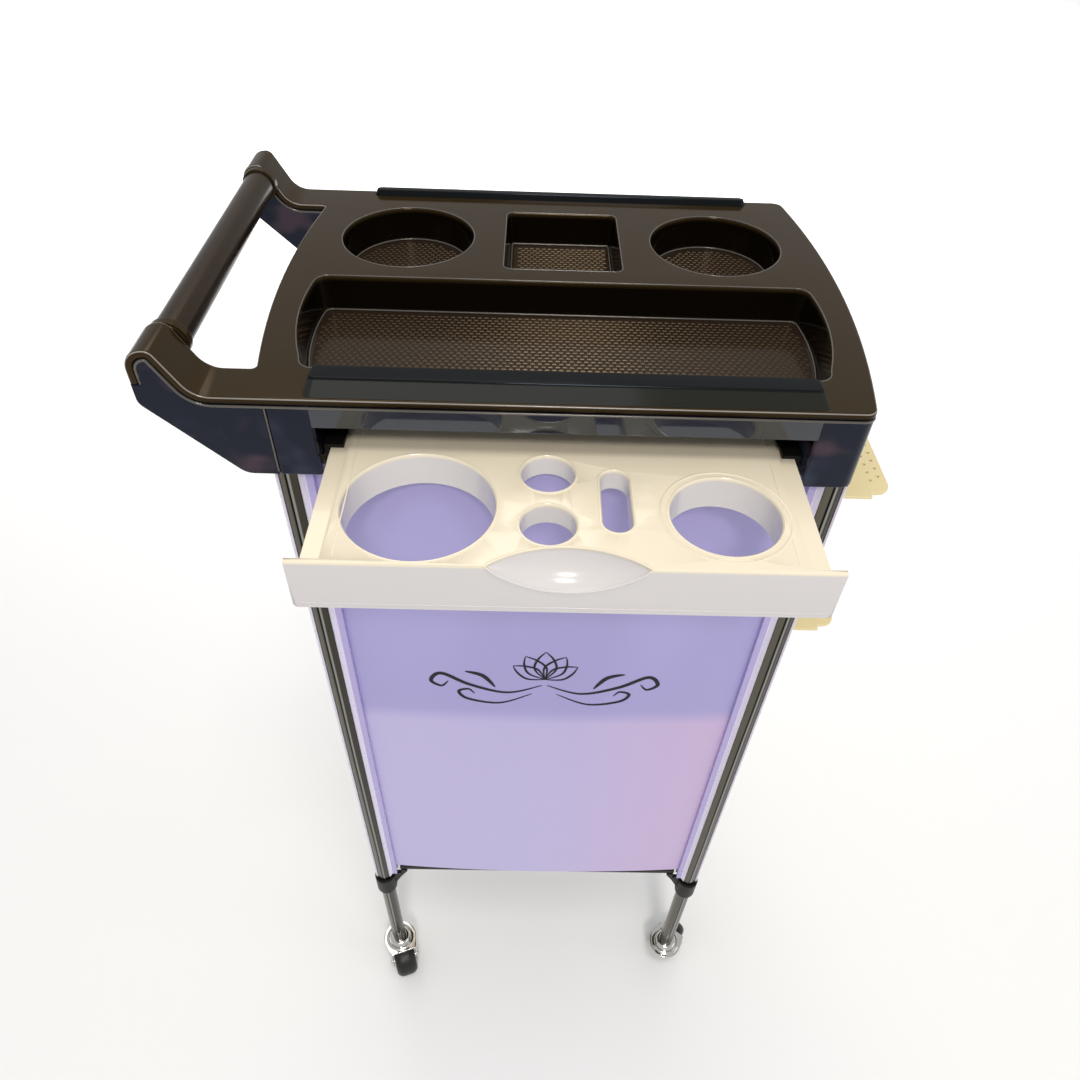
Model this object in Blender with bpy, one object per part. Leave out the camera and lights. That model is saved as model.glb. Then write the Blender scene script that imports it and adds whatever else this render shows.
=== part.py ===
"""Spa trolley cart: a moulded top with a pull-out accessory tray, a panelled cabinet of drawers, and four casters.

Metres, +Z up. Everything is modelled in the cabinet's own frame: x = 0 and y = 0 midway between the posts,
z = 0 on the floor, the handle on the -X side and the accessory tray on the -Y side. One empty then shifts the
whole cart so that its origin is the bottom centre of its bounding box.
"""

import math

import bmesh
import bpy
from mathutils import Matrix

# Driving dimensions
POST_SPACING_X = 0.342
POST_SPACING_Y = 0.265
POST_RADIUS = 0.008
POST_WALL = 0.0011
GAP = 0.0003

DECK_TOP = 0.891
DECK_HALF_DEPTH = 0.144
DECK_CORNER_X = 0.1785
DECK_SIDE_BULGE = 0.0145
DECK_CORNER_RADIUS = 0.008
LID_THICKNESS = 0.0045
APRON_BOTTOM = 0.835
APRON_WALL = 0.003
MOUTH_HALF_WIDTH = 0.147
MOUTH_TOP = 0.871
PARTITION_TOP = 0.863
CORNER_BLOCK_Y = 0.115
POST_TOP = 0.875

WELL_FLOOR = 0.8664
WELL_WALL = 0.0022
WELL_DRAFT = 0.0025
ROUND_WELL_RADIUS = 0.048
ROUND_WELL_X = 0.114
ROUND_WELL_Y = 0.0647
SQUARE_WELL_HALF = 0.0418
SQUARE_WELL_Y = (0.0186, 0.1098)
LONG_WELL_Y = (-0.1107, 0.001)
LONG_WELL_FRONT_X = 0.1587
LONG_WELL_MIDDLE_X = 0.171
LONG_WELL_BACK_X = 0.167
RIDGE_HEIGHT = 0.0045

ARM_WIDTH = 0.031
HANDLE_X = -0.2313
HANDLE_Z = 0.9068
HUB_RADIUS = 0.0135
BAR_RADIUS = 0.011
BAR_STUB_RADIUS = 0.0035
BAR_STUB_LENGTH = 0.01
FERRULE_RADIUS = 0.0126
FERRULE_LENGTH = 0.006

TRAY_DECK = 0.851
TRAY_PULL = 0.085
TRAY_DEPTH = 0.248
TRAY_HALF_WIDTH = 0.1315
TRAY_FLANGE_HALF_WIDTH = 0.1428
TRAY_PLATE = 0.0025
LIP_HALF_WIDTH = 0.150
LIP_BOTTOM = 0.815
LIP_THICKNESS = 0.003
SLEEVE_BOTTOM = 0.8285
SMALL_SLEEVE_BOTTOM = 0.8370
SLEEVE_WALL = 0.002
RUNNER_FRONT = -0.133

PANEL_BOTTOM = 0.258
PANEL_THICKNESS = 0.0025
PANEL_BOW = 0.005
PANEL_HALF_WIDTH = 0.1596
PANEL_EDGE_Y = 0.1318
NOTCHES = ((-0.140, -0.036), (0.0555, 0.140))
NOTCH_BOTTOM = 0.826
PROFILE_BOTTOM = 0.243
PROFILE_INNER_RADIUS = 0.0083
PROFILE_WALL = 0.0014

DRAWER_LEVELS = (0.807, 0.669, 0.552, 0.435, 0.318)
DRAWER_HALF_LENGTH = 0.150
DRAWER_HALF_WIDTH = 0.109
DRAWER_DEPTH = 0.050
DRAWER_WALL = 0.002
DRAWER_RIM_HALF_WIDTH = 0.1215
DRAWER_LIP_HALF_LENGTH = 0.188
DRAWER_LIP_HALF_WIDTH = 0.1173
DRAWER_PULLS = (0.033, 0.033, 0.0, 0.0, 0.0)

BASE_TOP = 0.2575
BASE_THICKNESS = 0.007
COLLAR_BOTTOM = 0.207
COLLAR_TOP = 0.2365
COLLAR_RADIUS = 0.0112

WHEEL_RADIUS = 0.021
WHEEL_WIDTH = 0.026
CASTER_TRAIL = 0.018
CASTER_CUP_RADIUS = 0.0128
CASTER_CUP_BOTTOM = 0.0452
CROWN_RADIUS = 0.0203
CROWN_REACH = 0.019
CROWN_BOTTOM = 0.0430
POST_BOTTOM = 0.0518
SWIVEL_DEGREES = {"front_left": -70.0, "front_right": 55.0, "rear_left": -115.0, "rear_right": -60.0}

ROUND_STEPS = 28
POST_STEPS = 20

FRONT_MOST = -DECK_HALF_DEPTH - GAP - LIP_THICKNESS - TRAY_PULL
BACK_MOST = POST_SPACING_Y / 2 + CROWN_RADIUS
HANDLE_MOST = HANDLE_X - HUB_RADIUS
DRAWER_MOST = DRAWER_LIP_HALF_LENGTH + max(DRAWER_PULLS)
SHIFT = (-(HANDLE_MOST + DRAWER_MOST) / 2, -(FRONT_MOST + BACK_MOST) / 2, 0.0)

CORNERS = {
    "front_left": (-1, -1),
    "front_right": (1, -1),
    "rear_left": (-1, 1),
    "rear_right": (1, 1),
}


# ---------------------------------------------------------------- materials


def finish(name, colour, roughness, metallic=0.0):
    material = bpy.data.materials.new(name)
    material.use_nodes = True
    shader = material.node_tree.nodes["Principled BSDF"]
    shader.inputs["Base Color"].default_value = (*colour, 1.0)
    shader.inputs["Roughness"].default_value = roughness
    shader.inputs["Metallic"].default_value = metallic
    material.diffuse_color = (*colour, 1.0)
    return material


# ------------------------------------------------------------------ outlines


def rounded(points, radii, steps=4, closed=True):
    """The outline with an arc of the given radius at each corner; a radius of 0 keeps the corner sharp."""
    result = []
    count = len(points)
    for index, (corner, radius) in enumerate(zip(points, radii)):
        is_end = not closed and index in (0, count - 1)
        if radius == 0 or is_end:
            result.append(corner)
            continue
        before = points[index - 1]
        after = points[(index + 1) % count]
        back = math.atan2(before[1] - corner[1], before[0] - corner[0])
        ahead = math.atan2(after[1] - corner[1], after[0] - corner[0])
        turn = (ahead - back + math.pi) % (2 * math.pi) - math.pi
        reach = radius / math.sin(abs(turn) / 2)
        middle = back + turn / 2
        centre = (corner[0] + reach * math.cos(middle), corner[1] + reach * math.sin(middle))
        side = 1 if turn > 0 else -1
        start = back - side * math.pi / 2
        sweep = -side * (math.pi - abs(turn))
        for step in range(steps + 1):
            angle = start + sweep * step / steps
            x = centre[0] + radius * math.cos(angle)
            y = centre[1] + radius * math.sin(angle)
            result.append((x, y))
    return result


def offset(points, distance):
    """The open line moved sideways, to the left of its direction."""
    lines = []
    for (x0, y0), (x1, y1) in zip(points, points[1:]):
        length = math.hypot(x1 - x0, y1 - y0)
        normal = (-(y1 - y0) / length * distance, (x1 - x0) / length * distance)
        lines.append((x0 + normal[0], y0 + normal[1], (x1 - x0) / length, (y1 - y0) / length))
    moved = [(lines[0][0], lines[0][1])]
    for (ax, ay, adx, ady), (bx, by, bdx, bdy) in zip(lines, lines[1:]):
        along = ((bx - ax) * bdy - (by - ay) * bdx) / (adx * bdy - ady * bdx)
        moved.append((ax + adx * along, ay + ady * along))
    last = lines[-1]
    end = points[-1]
    start = points[-2]
    length = math.hypot(end[0] - start[0], end[1] - start[1])
    moved.append((last[0] + last[2] * length, last[1] + last[3] * length))
    return moved


def rectangle(x, y):
    return [(x[0], y[0]), (x[1], y[0]), (x[1], y[1]), (x[0], y[1])]


def circle(centre, radius, steps=ROUND_STEPS):
    turns = [2 * math.pi * step / steps for step in range(steps)]
    return [(centre[0] + radius * math.cos(a), centre[1] + radius * math.sin(a)) for a in turns]


def side_x(y):
    """The deck's side outline: a shallow arc that bulges outwards midway along the side."""
    return DECK_CORNER_X + DECK_SIDE_BULGE * (1 - (y / DECK_HALF_DEPTH) ** 2)


def deck_outline(inset=0.0, half_depth=DECK_HALF_DEPTH, radius=DECK_CORNER_RADIUS, steps=10):
    half = half_depth - inset if half_depth == DECK_HALF_DEPTH else half_depth
    levels = [-half + 2 * half * step / steps for step in range(steps + 1)]
    right = [(side_x(y) - inset, y) for y in levels]
    left = [(-x, y) for x, y in reversed(right)]
    radii = [radius] + [0] * (steps - 1) + [radius]
    return rounded(right + left, radii + radii)


def long_well_outline(inset=0.0):
    front, back = LONG_WELL_Y[0] + inset, LONG_WELL_Y[1] - inset
    middle = front + 0.55 * (back - front)
    right = [(LONG_WELL_FRONT_X - inset, front)]
    for share in (0.2, 0.4, 0.6, 0.8):
        y = front + share * (back - front)
        ends = LONG_WELL_FRONT_X + (LONG_WELL_BACK_X - LONG_WELL_FRONT_X) * share
        bulge = LONG_WELL_MIDDLE_X - (LONG_WELL_FRONT_X + LONG_WELL_BACK_X) / 2
        right.append((ends + bulge * (1 - ((y - middle) / (back - front) * 2) ** 2) - inset, y))
    right.append((LONG_WELL_BACK_X - inset, back))
    left = [(-x, y) for x, y in reversed(right)]
    radius = 0.009 - inset / 2
    radii = [radius, 0, 0, 0, 0, radius]
    return rounded(right + left, radii + radii)


# -------------------------------------------------------------------- meshes


def mesh_from(name, bm):
    bmesh.ops.recalc_face_normals(bm, faces=bm.faces)
    mesh = bpy.data.meshes.new(name)
    bm.to_mesh(mesh)
    bm.free()
    return mesh


def prism(name, outline, low, high, axis="Z", top=None):
    """The outline swept from low to high along an axis; top gives a second outline for drafted sides."""
    bm = bmesh.new()
    place = {
        "X": lambda point, level: (level, point[0], point[1]),
        "Y": lambda point, level: (point[0], level, point[1]),
        "Z": lambda point, level: (point[0], point[1], level),
    }[axis]
    lower = [bm.verts.new(place(point, low)) for point in outline]
    upper = [bm.verts.new(place(point, high)) for point in (top or outline)]
    bm.faces.new(lower)
    bm.faces.new(upper)
    for index, corner in enumerate(lower):
        following = (index + 1) % len(lower)
        bm.faces.new((corner, lower[following], upper[following], upper[index]))
    return mesh_from(name, bm)


def block(name, x, y, z):
    return prism(name, rectangle(x, y), z[0], z[1])


def turned(name, profile, steps=ROUND_STEPS, axis="Z"):
    """The closed profile of (radius, height) points turned about an axis."""
    bm = bmesh.new()
    rings = []
    for radius, height in profile:
        if radius == 0:
            rings.append([bm.verts.new((0, 0, height))])
            continue
        turns = [2 * math.pi * step / steps for step in range(steps)]
        rings.append([bm.verts.new((radius * math.cos(a), radius * math.sin(a), height)) for a in turns])
    for index, ring in enumerate(rings):
        other = rings[(index + 1) % len(rings)]
        if len(ring) == 1 and len(other) == 1:
            continue
        for step in range(steps):
            following = (step + 1) % steps
            if len(ring) == 1:
                bm.faces.new((ring[0], other[step], other[following]))
            elif len(other) == 1:
                bm.faces.new((ring[step], ring[following], other[0]))
            else:
                bm.faces.new((ring[step], ring[following], other[following], other[step]))
    if axis == "Y":
        bmesh.ops.transform(bm, matrix=Matrix.Rotation(math.radians(90), 4, "X"), verts=bm.verts)
    return mesh_from(name, bm)


def ellipsoid(name, centre, radii):
    bm = bmesh.new()
    scale = Matrix.Diagonal((*radii, 1))
    bmesh.ops.create_uvsphere(bm, u_segments=24, v_segments=12, radius=1, matrix=Matrix.Translation(centre) @ scale)
    return mesh_from(name, bm)


# ------------------------------------------------------------------- objects


def piece(name, mesh, material, parent, smooth=None):
    """One sub-part. smooth is the angle in degrees above which its edges stay sharp."""
    mesh.name = name
    thing = bpy.data.objects.new(name, mesh)
    bpy.context.scene.collection.objects.link(thing)
    thing.parent = parent
    if not mesh.materials:
        mesh.materials.append(material)
    if smooth:
        mesh.shade_smooth()
        mesh.set_sharp_from_angle(angle=math.radians(smooth))
    return thing


def combine(target, mesh, operation):
    """A Boolean on the target, with the mesh held by a hidden tool that shares the target's parent."""
    tool = bpy.data.objects.new(f"tool_{target.name}_{len(target.modifiers)}", mesh)
    bpy.context.scene.collection.objects.link(tool)
    tool.parent = target.parent
    tool.location = target.location
    tool.hide_render = True
    tool.display_type = "WIRE"
    modifier = target.modifiers.new(f"{operation.lower()}_{len(target.modifiers)}", "BOOLEAN")
    modifier.operation = operation
    modifier.solver = "EXACT"
    modifier.object = tool
    return tool


def join(target, *meshes):
    for mesh in meshes:
        combine(target, mesh, "UNION")


def cut(target, *meshes):
    for mesh in meshes:
        combine(target, mesh, "DIFFERENCE")


def empty(name, parent, location=(0, 0, 0), turn=0.0):
    thing = bpy.data.objects.new(name, None)
    bpy.context.scene.collection.objects.link(thing)
    thing.parent = parent
    thing.location = location
    thing.rotation_euler = (0, 0, turn)
    return thing


# ----------------------------------------------------------------- top parts


def arm_top_line():
    """The handle arm's upper line in x and z, from inside the deck out over the hub."""
    hub_top = HANDLE_Z + HUB_RADIUS
    hub_out = HANDLE_X - HUB_RADIUS
    corners = [
        (-0.165, DECK_TOP),
        (-0.2119, DECK_TOP),
        (HANDLE_X + 0.0028, hub_top),
        (hub_out, hub_top),
        (hub_out, HANDLE_Z - 0.008),
    ]
    return corners, [0, 0.016, 0.0066, HUB_RADIUS - 0.001, 0]


def arm_outlines():
    """The arm's two halves in x and z: the skin that belongs to the lid, and the lower half under it."""
    corners, radii = arm_top_line()
    outer = rounded(corners, radii, 5, closed=False)
    skin = LID_THICKNESS
    inner_radii = [0, radii[1] + skin, radii[2] - skin, radii[3] - skin, 0]
    inner = rounded(offset(corners, skin), inner_radii, 5, closed=False)
    lid_half = outer + inner[::-1]
    under = skin + GAP
    under_radii = [0, radii[1] + under, radii[2] - under, radii[3] - under, 0]
    seam = rounded(offset(corners, under), under_radii, 5, closed=False)
    hub_out = corners[-1][0]
    belly_corners = [
        (hub_out, seam[-1][1] - 0.0005),
        (hub_out, 0.8853),
        (-0.1937, APRON_BOTTOM),
        (-0.165, APRON_BOTTOM),
    ]
    belly = rounded(belly_corners, [0, 0.008, 0.012, 0], 4, closed=False)
    return lid_half, seam[:-1] + [(seam[-1][0], belly[0][1])] + belly


def arm_spans():
    inner = DECK_HALF_DEPTH - ARM_WIDTH
    return ((-DECK_HALF_DEPTH, -inner), (inner, DECK_HALF_DEPTH))


def well(target, name, outline, floor_outline, outer, floor_outer):
    """A drafted well that hangs under the deck: its block is joined, then its hollow is cut."""
    deep = WELL_FLOOR - WELL_WALL
    top = DECK_TOP - LID_THICKNESS / 2
    join(target, prism(f"{name}_block", floor_outer, deep, top, top=outer))
    return prism(f"{name}_hollow", floor_outline, WELL_FLOOR, DECK_TOP, top=outline)


def top_tray(parent, black):
    lid = piece("top_tray", prism("lid", deck_outline(), DECK_TOP - LID_THICKNESS, DECK_TOP), black, parent, 35)
    lid_half, _ = arm_outlines()
    for low, high in arm_spans():
        join(lid, prism("arm_skin", lid_half, low, high, "Y"))
    floors = WELL_DRAFT
    wall = WELL_WALL
    hollows = []
    for side in (-1, 1):
        centre = (side * ROUND_WELL_X, ROUND_WELL_Y)
        radii = [ROUND_WELL_RADIUS, ROUND_WELL_RADIUS - floors]
        rims = [circle(centre, radius) for radius in radii] + [circle(centre, radius + wall) for radius in radii]
        hollows.append(well(lid, "round_well", *rims))
    squares = []
    for grow in (0, -floors, wall, wall - floors):
        x = SQUARE_WELL_HALF + grow
        sides = (SQUARE_WELL_Y[0] - grow, SQUARE_WELL_Y[1] + grow)
        squares.append(rounded(rectangle((-x, x), sides), [0.005 + grow / 2] * 4, 3))
    hollows.append(well(lid, "square_well", *squares))
    longs = [long_well_outline(-grow) for grow in (0, -floors, wall, wall - floors)]
    hollows.append(well(lid, "long_well", *longs))
    cut(lid, *hollows)
    ridge_top = DECK_TOP + RIDGE_HEIGHT
    for half, front, back, slope in ((0.152, -0.1418, -0.1130, 0.0141), (0.149, 0.1335, 0.1425, 0.002)):
        outline = rounded(rectangle((-half, half), (front, back)), [0.004] * 4, 3)
        crown = rounded(rectangle((-half + 0.002, half - 0.002), (front + slope, back - 0.002)), [0.002] * 4, 3)
        join(lid, prism("ridge", outline, DECK_TOP - 0.002, ridge_top, top=crown))


def top_housing(parent, black):
    top = DECK_TOP - LID_THICKNESS - GAP
    shell = piece("top_housing", prism("shell", deck_outline(), APRON_BOTTOM, top), black, parent, 35)
    _, lower_half = arm_outlines()
    for low, high in arm_spans():
        join(shell, prism("arm_body", lower_half, low, high, "Y"))
    inside = deck_outline(APRON_WALL, CORNER_BLOCK_Y, radius=0.004)
    back = DECK_HALF_DEPTH - APRON_WALL
    mouth = MOUTH_HALF_WIDTH
    below = APRON_BOTTOM - 0.004
    cut(
        shell,
        prism("upper_side_space", inside, PARTITION_TOP, DECK_TOP),
        block("upper_middle_space", (-mouth, mouth), (-back, back), (PARTITION_TOP - 0.001, DECK_TOP)),
        block("tray_channel", (-mouth, mouth), (-DECK_HALF_DEPTH - 0.01, back), (below, PARTITION_TOP + 0.001)),
        block("mouth", (-mouth, mouth), (-DECK_HALF_DEPTH - 0.01, -0.12), (below, MOUTH_TOP)),
    )
    pocket = mouth + APRON_WALL
    right = [point for point in inside if point[0] > pocket]
    outline = [(pocket, -CORNER_BLOCK_Y)] + right + [(pocket, CORNER_BLOCK_Y)]
    cut(shell, prism("right_pocket", outline, below, PARTITION_TOP - 0.002))
    cut(shell, prism("left_pocket", [(-x, y) for x, y in reversed(outline)], below, PARTITION_TOP - 0.002))
    for sign_x, sign_y in CORNERS.values():
        centre = (sign_x * POST_SPACING_X / 2, sign_y * POST_SPACING_Y / 2)
        cut(shell, prism("socket", circle(centre, POST_RADIUS + GAP, POST_STEPS), below, POST_TOP + GAP))
    bore = circle((HANDLE_X, HANDLE_Z), BAR_STUB_RADIUS + GAP, POST_STEPS)
    inner = DECK_HALF_DEPTH - ARM_WIDTH
    deep = inner + BAR_STUB_LENGTH + GAP
    cut(shell, prism("front_bore", bore, -deep, -inner + 0.003, "Y"))
    cut(shell, prism("rear_bore", bore, inner - 0.003, deep, "Y"))


def handle(parent, black, trim):
    centre = empty("handle_axis", parent, (HANDLE_X, 0, HANDLE_Z))
    end = DECK_HALF_DEPTH - ARM_WIDTH - GAP
    tip = end + GAP + BAR_STUB_LENGTH
    bar = [(0, -tip), (BAR_STUB_RADIUS, -tip), (BAR_STUB_RADIUS, -end), (BAR_RADIUS, -end)]
    profile = bar + [(radius, -height) for radius, height in reversed(bar)]
    piece("handle_bar", turned("bar", profile, POST_STEPS, "Y"), black, centre, 35)
    inside = BAR_RADIUS + GAP
    outside = FERRULE_RADIUS
    edge = 0.0006
    for name, sign in (("handle_ring_front", 1), ("handle_ring_rear", -1)):
        near, far = end - FERRULE_LENGTH, end
        ring = [(inside, near), (outside - edge, near), (outside, near + edge), (outside, far), (inside, far)]
        ring = [(radius, sign * height) for radius, height in ring]
        piece(name, turned(name, ring, POST_STEPS, "Y"), trim, centre, 35)


# ------------------------------------------------------------ accessory tray


def accessory_tray(parent, ivory):
    """Modelled with y = 0 on the lip's front face, so that its origin lies on the slide's line."""
    front = FRONT_MOST
    slide = empty("accessory_tray_slide", parent, (0, front, 0))
    plate_low = TRAY_DECK - TRAY_PLATE
    width, flange = TRAY_HALF_WIDTH, TRAY_FLANGE_HALF_WIDTH
    tray = piece(
        "accessory_tray",
        block("deck", (-width, width), (LIP_THICKNESS - 0.001, TRAY_DEPTH), (plate_low, TRAY_DECK)),
        ivory,
        slide,
        35,
    )
    lip = block("lip", (-LIP_HALF_WIDTH, LIP_HALF_WIDTH), (0, LIP_THICKNESS), (LIP_BOTTOM, TRAY_DECK))
    join(tray, lip)
    flange_z = (TRAY_DECK - 0.0057, TRAY_DECK - 0.0030)
    for side in (-1, 1):
        edge = sorted((side * (width - 0.002), side * flange))
        wall = sorted((side * (width - 0.002), side * width))
        join(tray, block("flange", edge, (LIP_THICKNESS - 0.001, TRAY_DEPTH), flange_z))
        join(tray, block("side_wall", wall, (LIP_THICKNESS - 0.001, TRAY_DEPTH), (flange_z[0], plate_low + 0.001)))
    join(tray, block("rear_wall", (-width, width), (TRAY_DEPTH - 0.0025, TRAY_DEPTH), (0.838, plate_low + 0.001)))
    holes = {
        "large_hole": (circle((-0.0835, 0.0470), 0.0438), circle((-0.0835, 0.0470), 0.0438 + SLEEVE_WALL)),
        "ring_hole": (circle((0.0910, 0.0438), 0.0318), circle((0.0910, 0.0438), 0.0318 + SLEEVE_WALL)),
        "front_small_hole": (circle((-0.0099, 0.0333), 0.0158, 20), circle((-0.0099, 0.0333), 0.0178, 20)),
        "back_small_hole": (circle((-0.0099, 0.0765), 0.0158, 20), circle((-0.0099, 0.0765), 0.0178, 20)),
    }
    slot = {}
    for grow in (0, SLEEVE_WALL):
        half = 0.0084 + grow
        ends = rectangle((0.0292 - half, 0.0292 + half), (0.0285 - grow, 0.0804 + grow))
        slot[grow] = rounded(ends, [half - 0.0001] * 4, 5)
    holes["slot"] = (slot[0], slot[SLEEVE_WALL])
    for name, (_, sleeve) in holes.items():
        bottom = SLEEVE_BOTTOM if name in ("large_hole", "ring_hole") else SMALL_SLEEVE_BOTTOM
        join(tray, prism(f"{name}_sleeve", sleeve, bottom, TRAY_DECK - 0.001))
    for name, (opening, _) in holes.items():
        cut(tray, prism(name, opening, SLEEVE_BOTTOM - 0.003, TRAY_DECK + 0.003))
    cut(tray, prism("ring_ledge", circle((0.0910, 0.0438), 0.0372), TRAY_DECK - 0.0012, TRAY_DECK + 0.003))
    finger_scoop(tray)


def finger_scoop(tray):
    """A lens-shaped hollow over the lip's top edge, with a thin wall behind it."""
    centre = (0.0014, -0.004, TRAY_DECK + 0.006)
    hollow = (0.0467, 0.0164, 0.0289)
    wall = [radius + 0.0025 for radius in hollow]
    backing = piece("tool_scoop_wall", ellipsoid("scoop_wall", centre, wall), tray.data.materials[0], tray.parent)
    backing.hide_render = True
    backing.display_type = "WIRE"
    inside = block("scoop_room", (-0.07, 0.07), (0.001, 0.03), (LIP_BOTTOM + 0.002, TRAY_DECK - 0.0005))
    combine(backing, inside, "INTERSECT")
    modifier = tray.modifiers.new("scoop_wall", "BOOLEAN")
    modifier.operation = "UNION"
    modifier.solver = "EXACT"
    modifier.object = backing
    cut(tray, ellipsoid("scoop", centre, hollow))


def tray_runners(parent, black):
    web = (TRAY_FLANGE_HALF_WIDTH + 0.0009, MOUTH_HALF_WIDTH - GAP)
    ledge = (TRAY_HALF_WIDTH + 0.0030, web[0])
    low, flange_low = TRAY_DECK - 0.0085, TRAY_DECK - 0.0060
    flange_high, high = TRAY_DECK - 0.0027, TRAY_DECK - 0.0002
    section = [
        (ledge[0], low),
        (web[1], low),
        (web[1], high),
        (ledge[0], high),
        (ledge[0], flange_high),
        (web[0], flange_high),
        (web[0], flange_low),
        (ledge[0], flange_low),
    ]
    half = DECK_HALF_DEPTH - APRON_WALL - GAP
    for name, side in (("tray_runner_right", 1), ("tray_runner_left", -1)):
        outline = [(side * x, z) for x, z in section]
        piece(name, prism(name, outline, RUNNER_FRONT, half, "Y"), black, parent)


# ------------------------------------------------------------------- cabinet


def profile_outline():
    """The corner profile about its post: a C that is open to the front, and a channel for the panel's edge."""
    inner = PROFILE_INNER_RADIUS
    outer = inner + PROFILE_WALL
    first, last = math.radians(-43), math.radians(223)
    channel_start, channel_end, tip = 0.0088, 0.0110, 0.0146
    face, slot_low, slot_high, back = -0.0030, 0.0, 0.0036, 0.0056
    points = [(inner * math.cos(first), inner * math.sin(first)), (outer * math.cos(first), outer * math.sin(first))]
    points += [(channel_start + 0.0005, face), (tip, face), (tip, slot_low), (channel_end, slot_low)]
    points += [(channel_end, slot_high), (tip, slot_high), (tip, back)]
    start = math.asin(back / outer)
    steps = 12
    arc = [start + (last - start) * step / steps for step in range(steps + 1)]
    points += [(outer * math.cos(a), outer * math.sin(a)) for a in arc]
    arc = [last + (first - last) * step / 16 for step in range(16)]
    points += [(inner * math.cos(a), inner * math.sin(a)) for a in arc]
    return points


def corner_pieces(parent, steel, lavender, black):
    """At each corner: the post, the profile that grips it, and the connector under the base plate."""
    inner = POST_RADIUS - POST_WALL
    post_mesh = turned(
        "post",
        [(inner, POST_BOTTOM), (POST_RADIUS, POST_BOTTOM), (POST_RADIUS, POST_TOP), (inner, POST_TOP)],
        POST_STEPS,
    )
    for name, (sign_x, sign_y) in CORNERS.items():
        corner = empty(f"corner_{name}", parent, (sign_x * POST_SPACING_X / 2, sign_y * POST_SPACING_Y / 2, 0))
        piece(f"post_{name}", post_mesh, steel, corner, 35)
        outline = [(-sign_x * x, -sign_y * y) for x, y in profile_outline()]
        profile = prism("profile", outline, PROFILE_BOTTOM, APRON_BOTTOM - GAP)
        piece(f"corner_profile_{name}", profile, lavender, corner, 40)
        connector(f"corner_connector_{name}", corner, sign_x, sign_y, black)


def connector(name, corner, sign_x, sign_y, black):
    start = POST_RADIUS + 0.0020
    under_profile = PROFILE_BOTTOM - GAP
    under_plate = BASE_TOP - BASE_THICKNESS - GAP
    collar = turned(
        name,
        [
            (POST_RADIUS + GAP, COLLAR_BOTTOM),
            (COLLAR_RADIUS - 0.0015, COLLAR_BOTTOM),
            (COLLAR_RADIUS, COLLAR_BOTTOM + 0.003),
            (COLLAR_RADIUS, COLLAR_TOP),
            (POST_RADIUS + GAP, COLLAR_TOP),
        ],
        POST_STEPS,
    )
    ring = piece(name, collar, black, corner, 35)
    web = [
        (start, COLLAR_BOTTOM + 0.008),
        (0.0150, COLLAR_BOTTOM + 0.019),
        (0.0195, COLLAR_BOTTOM + 0.029),
        (0.0260, under_plate - 0.003),
        (0.0260, under_plate),
        (0.0190, under_plate),
        (0.0190, under_profile),
        (0.0130, under_profile),
        (start, COLLAR_TOP - 0.001),
    ]
    along_x = [(-sign_x * x, z) for x, z in web]
    along_y = [(-sign_y * x, z) for x, z in web]
    join(ring, prism("web_x", along_x, -0.002, 0.002, "Y"), prism("web_y", along_y, -0.002, 0.002, "X"))


def panel_outline(sign_y):
    """A panel in plan: flat in its height, bowed outwards across its width."""
    steps = 14
    places = [-PANEL_HALF_WIDTH + 2 * PANEL_HALF_WIDTH * step / steps for step in range(steps + 1)]
    bow = [PANEL_EDGE_Y + PANEL_BOW * (1 - (x / PANEL_HALF_WIDTH) ** 2) for x in places]
    face = [(x, sign_y * y) for x, y in zip(places, bow)]
    back = [(x, sign_y * (y - PANEL_THICKNESS)) for x, y in zip(places, bow)]
    return face + back[::-1]


def panels(parent, lavender):
    top = APRON_BOTTOM - 2 * GAP
    front = piece("front_panel", prism("front", panel_outline(-1), PANEL_BOTTOM, top), lavender, parent)
    for sides in NOTCHES:
        cut(front, block("notch", sides, (-0.16, -0.11), (NOTCH_BOTTOM, DECK_TOP)))
    piece("rear_panel", prism("rear", panel_outline(1), PANEL_BOTTOM, top), lavender, parent)


def base_plate(parent, black):
    inner_x, outer_x = 0.1525, 0.166
    inner_y, outer_y = 0.1200, 0.1335
    quarter = [(outer_x, inner_y), (inner_x, inner_y), (inner_x, outer_y)]
    right = [(x, -y) for x, y in reversed(quarter)] + quarter
    outline = right + [(-x, y) for x, y in reversed(right)]
    plate = prism("base_plate", outline, BASE_TOP - BASE_THICKNESS, BASE_TOP)
    piece("base_plate", plate, black, parent)


# ------------------------------------------------------------------- drawers


def drawer_rails(parent, ivory):
    """A front and a rear channel at each level; the drawer's rim runs between its two shelves."""
    wall = (0.1226, 0.1266)
    shelf = 0.1125
    section = [
        (wall[1], -0.0050),
        (wall[1], 0.0060),
        (shelf + 0.004, 0.0060),
        (shelf + 0.004, 0.0040),
        (wall[0], 0.0040),
        (wall[0], -0.0012),
        (shelf, -0.0012),
        (shelf, -0.0050),
    ]
    half = POST_SPACING_X / 2 - PROFILE_INNER_RADIUS - PROFILE_WALL - 0.0007
    for index, level in enumerate(DRAWER_LEVELS, start=1):
        for place, side in (("front", -1), ("rear", 1)):
            name = f"drawer_rail_{index}_{place}"
            outline = [(side * y, level + z) for y, z in section]
            piece(name, prism(name, outline, -half, half, "X"), ivory, parent)


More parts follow.
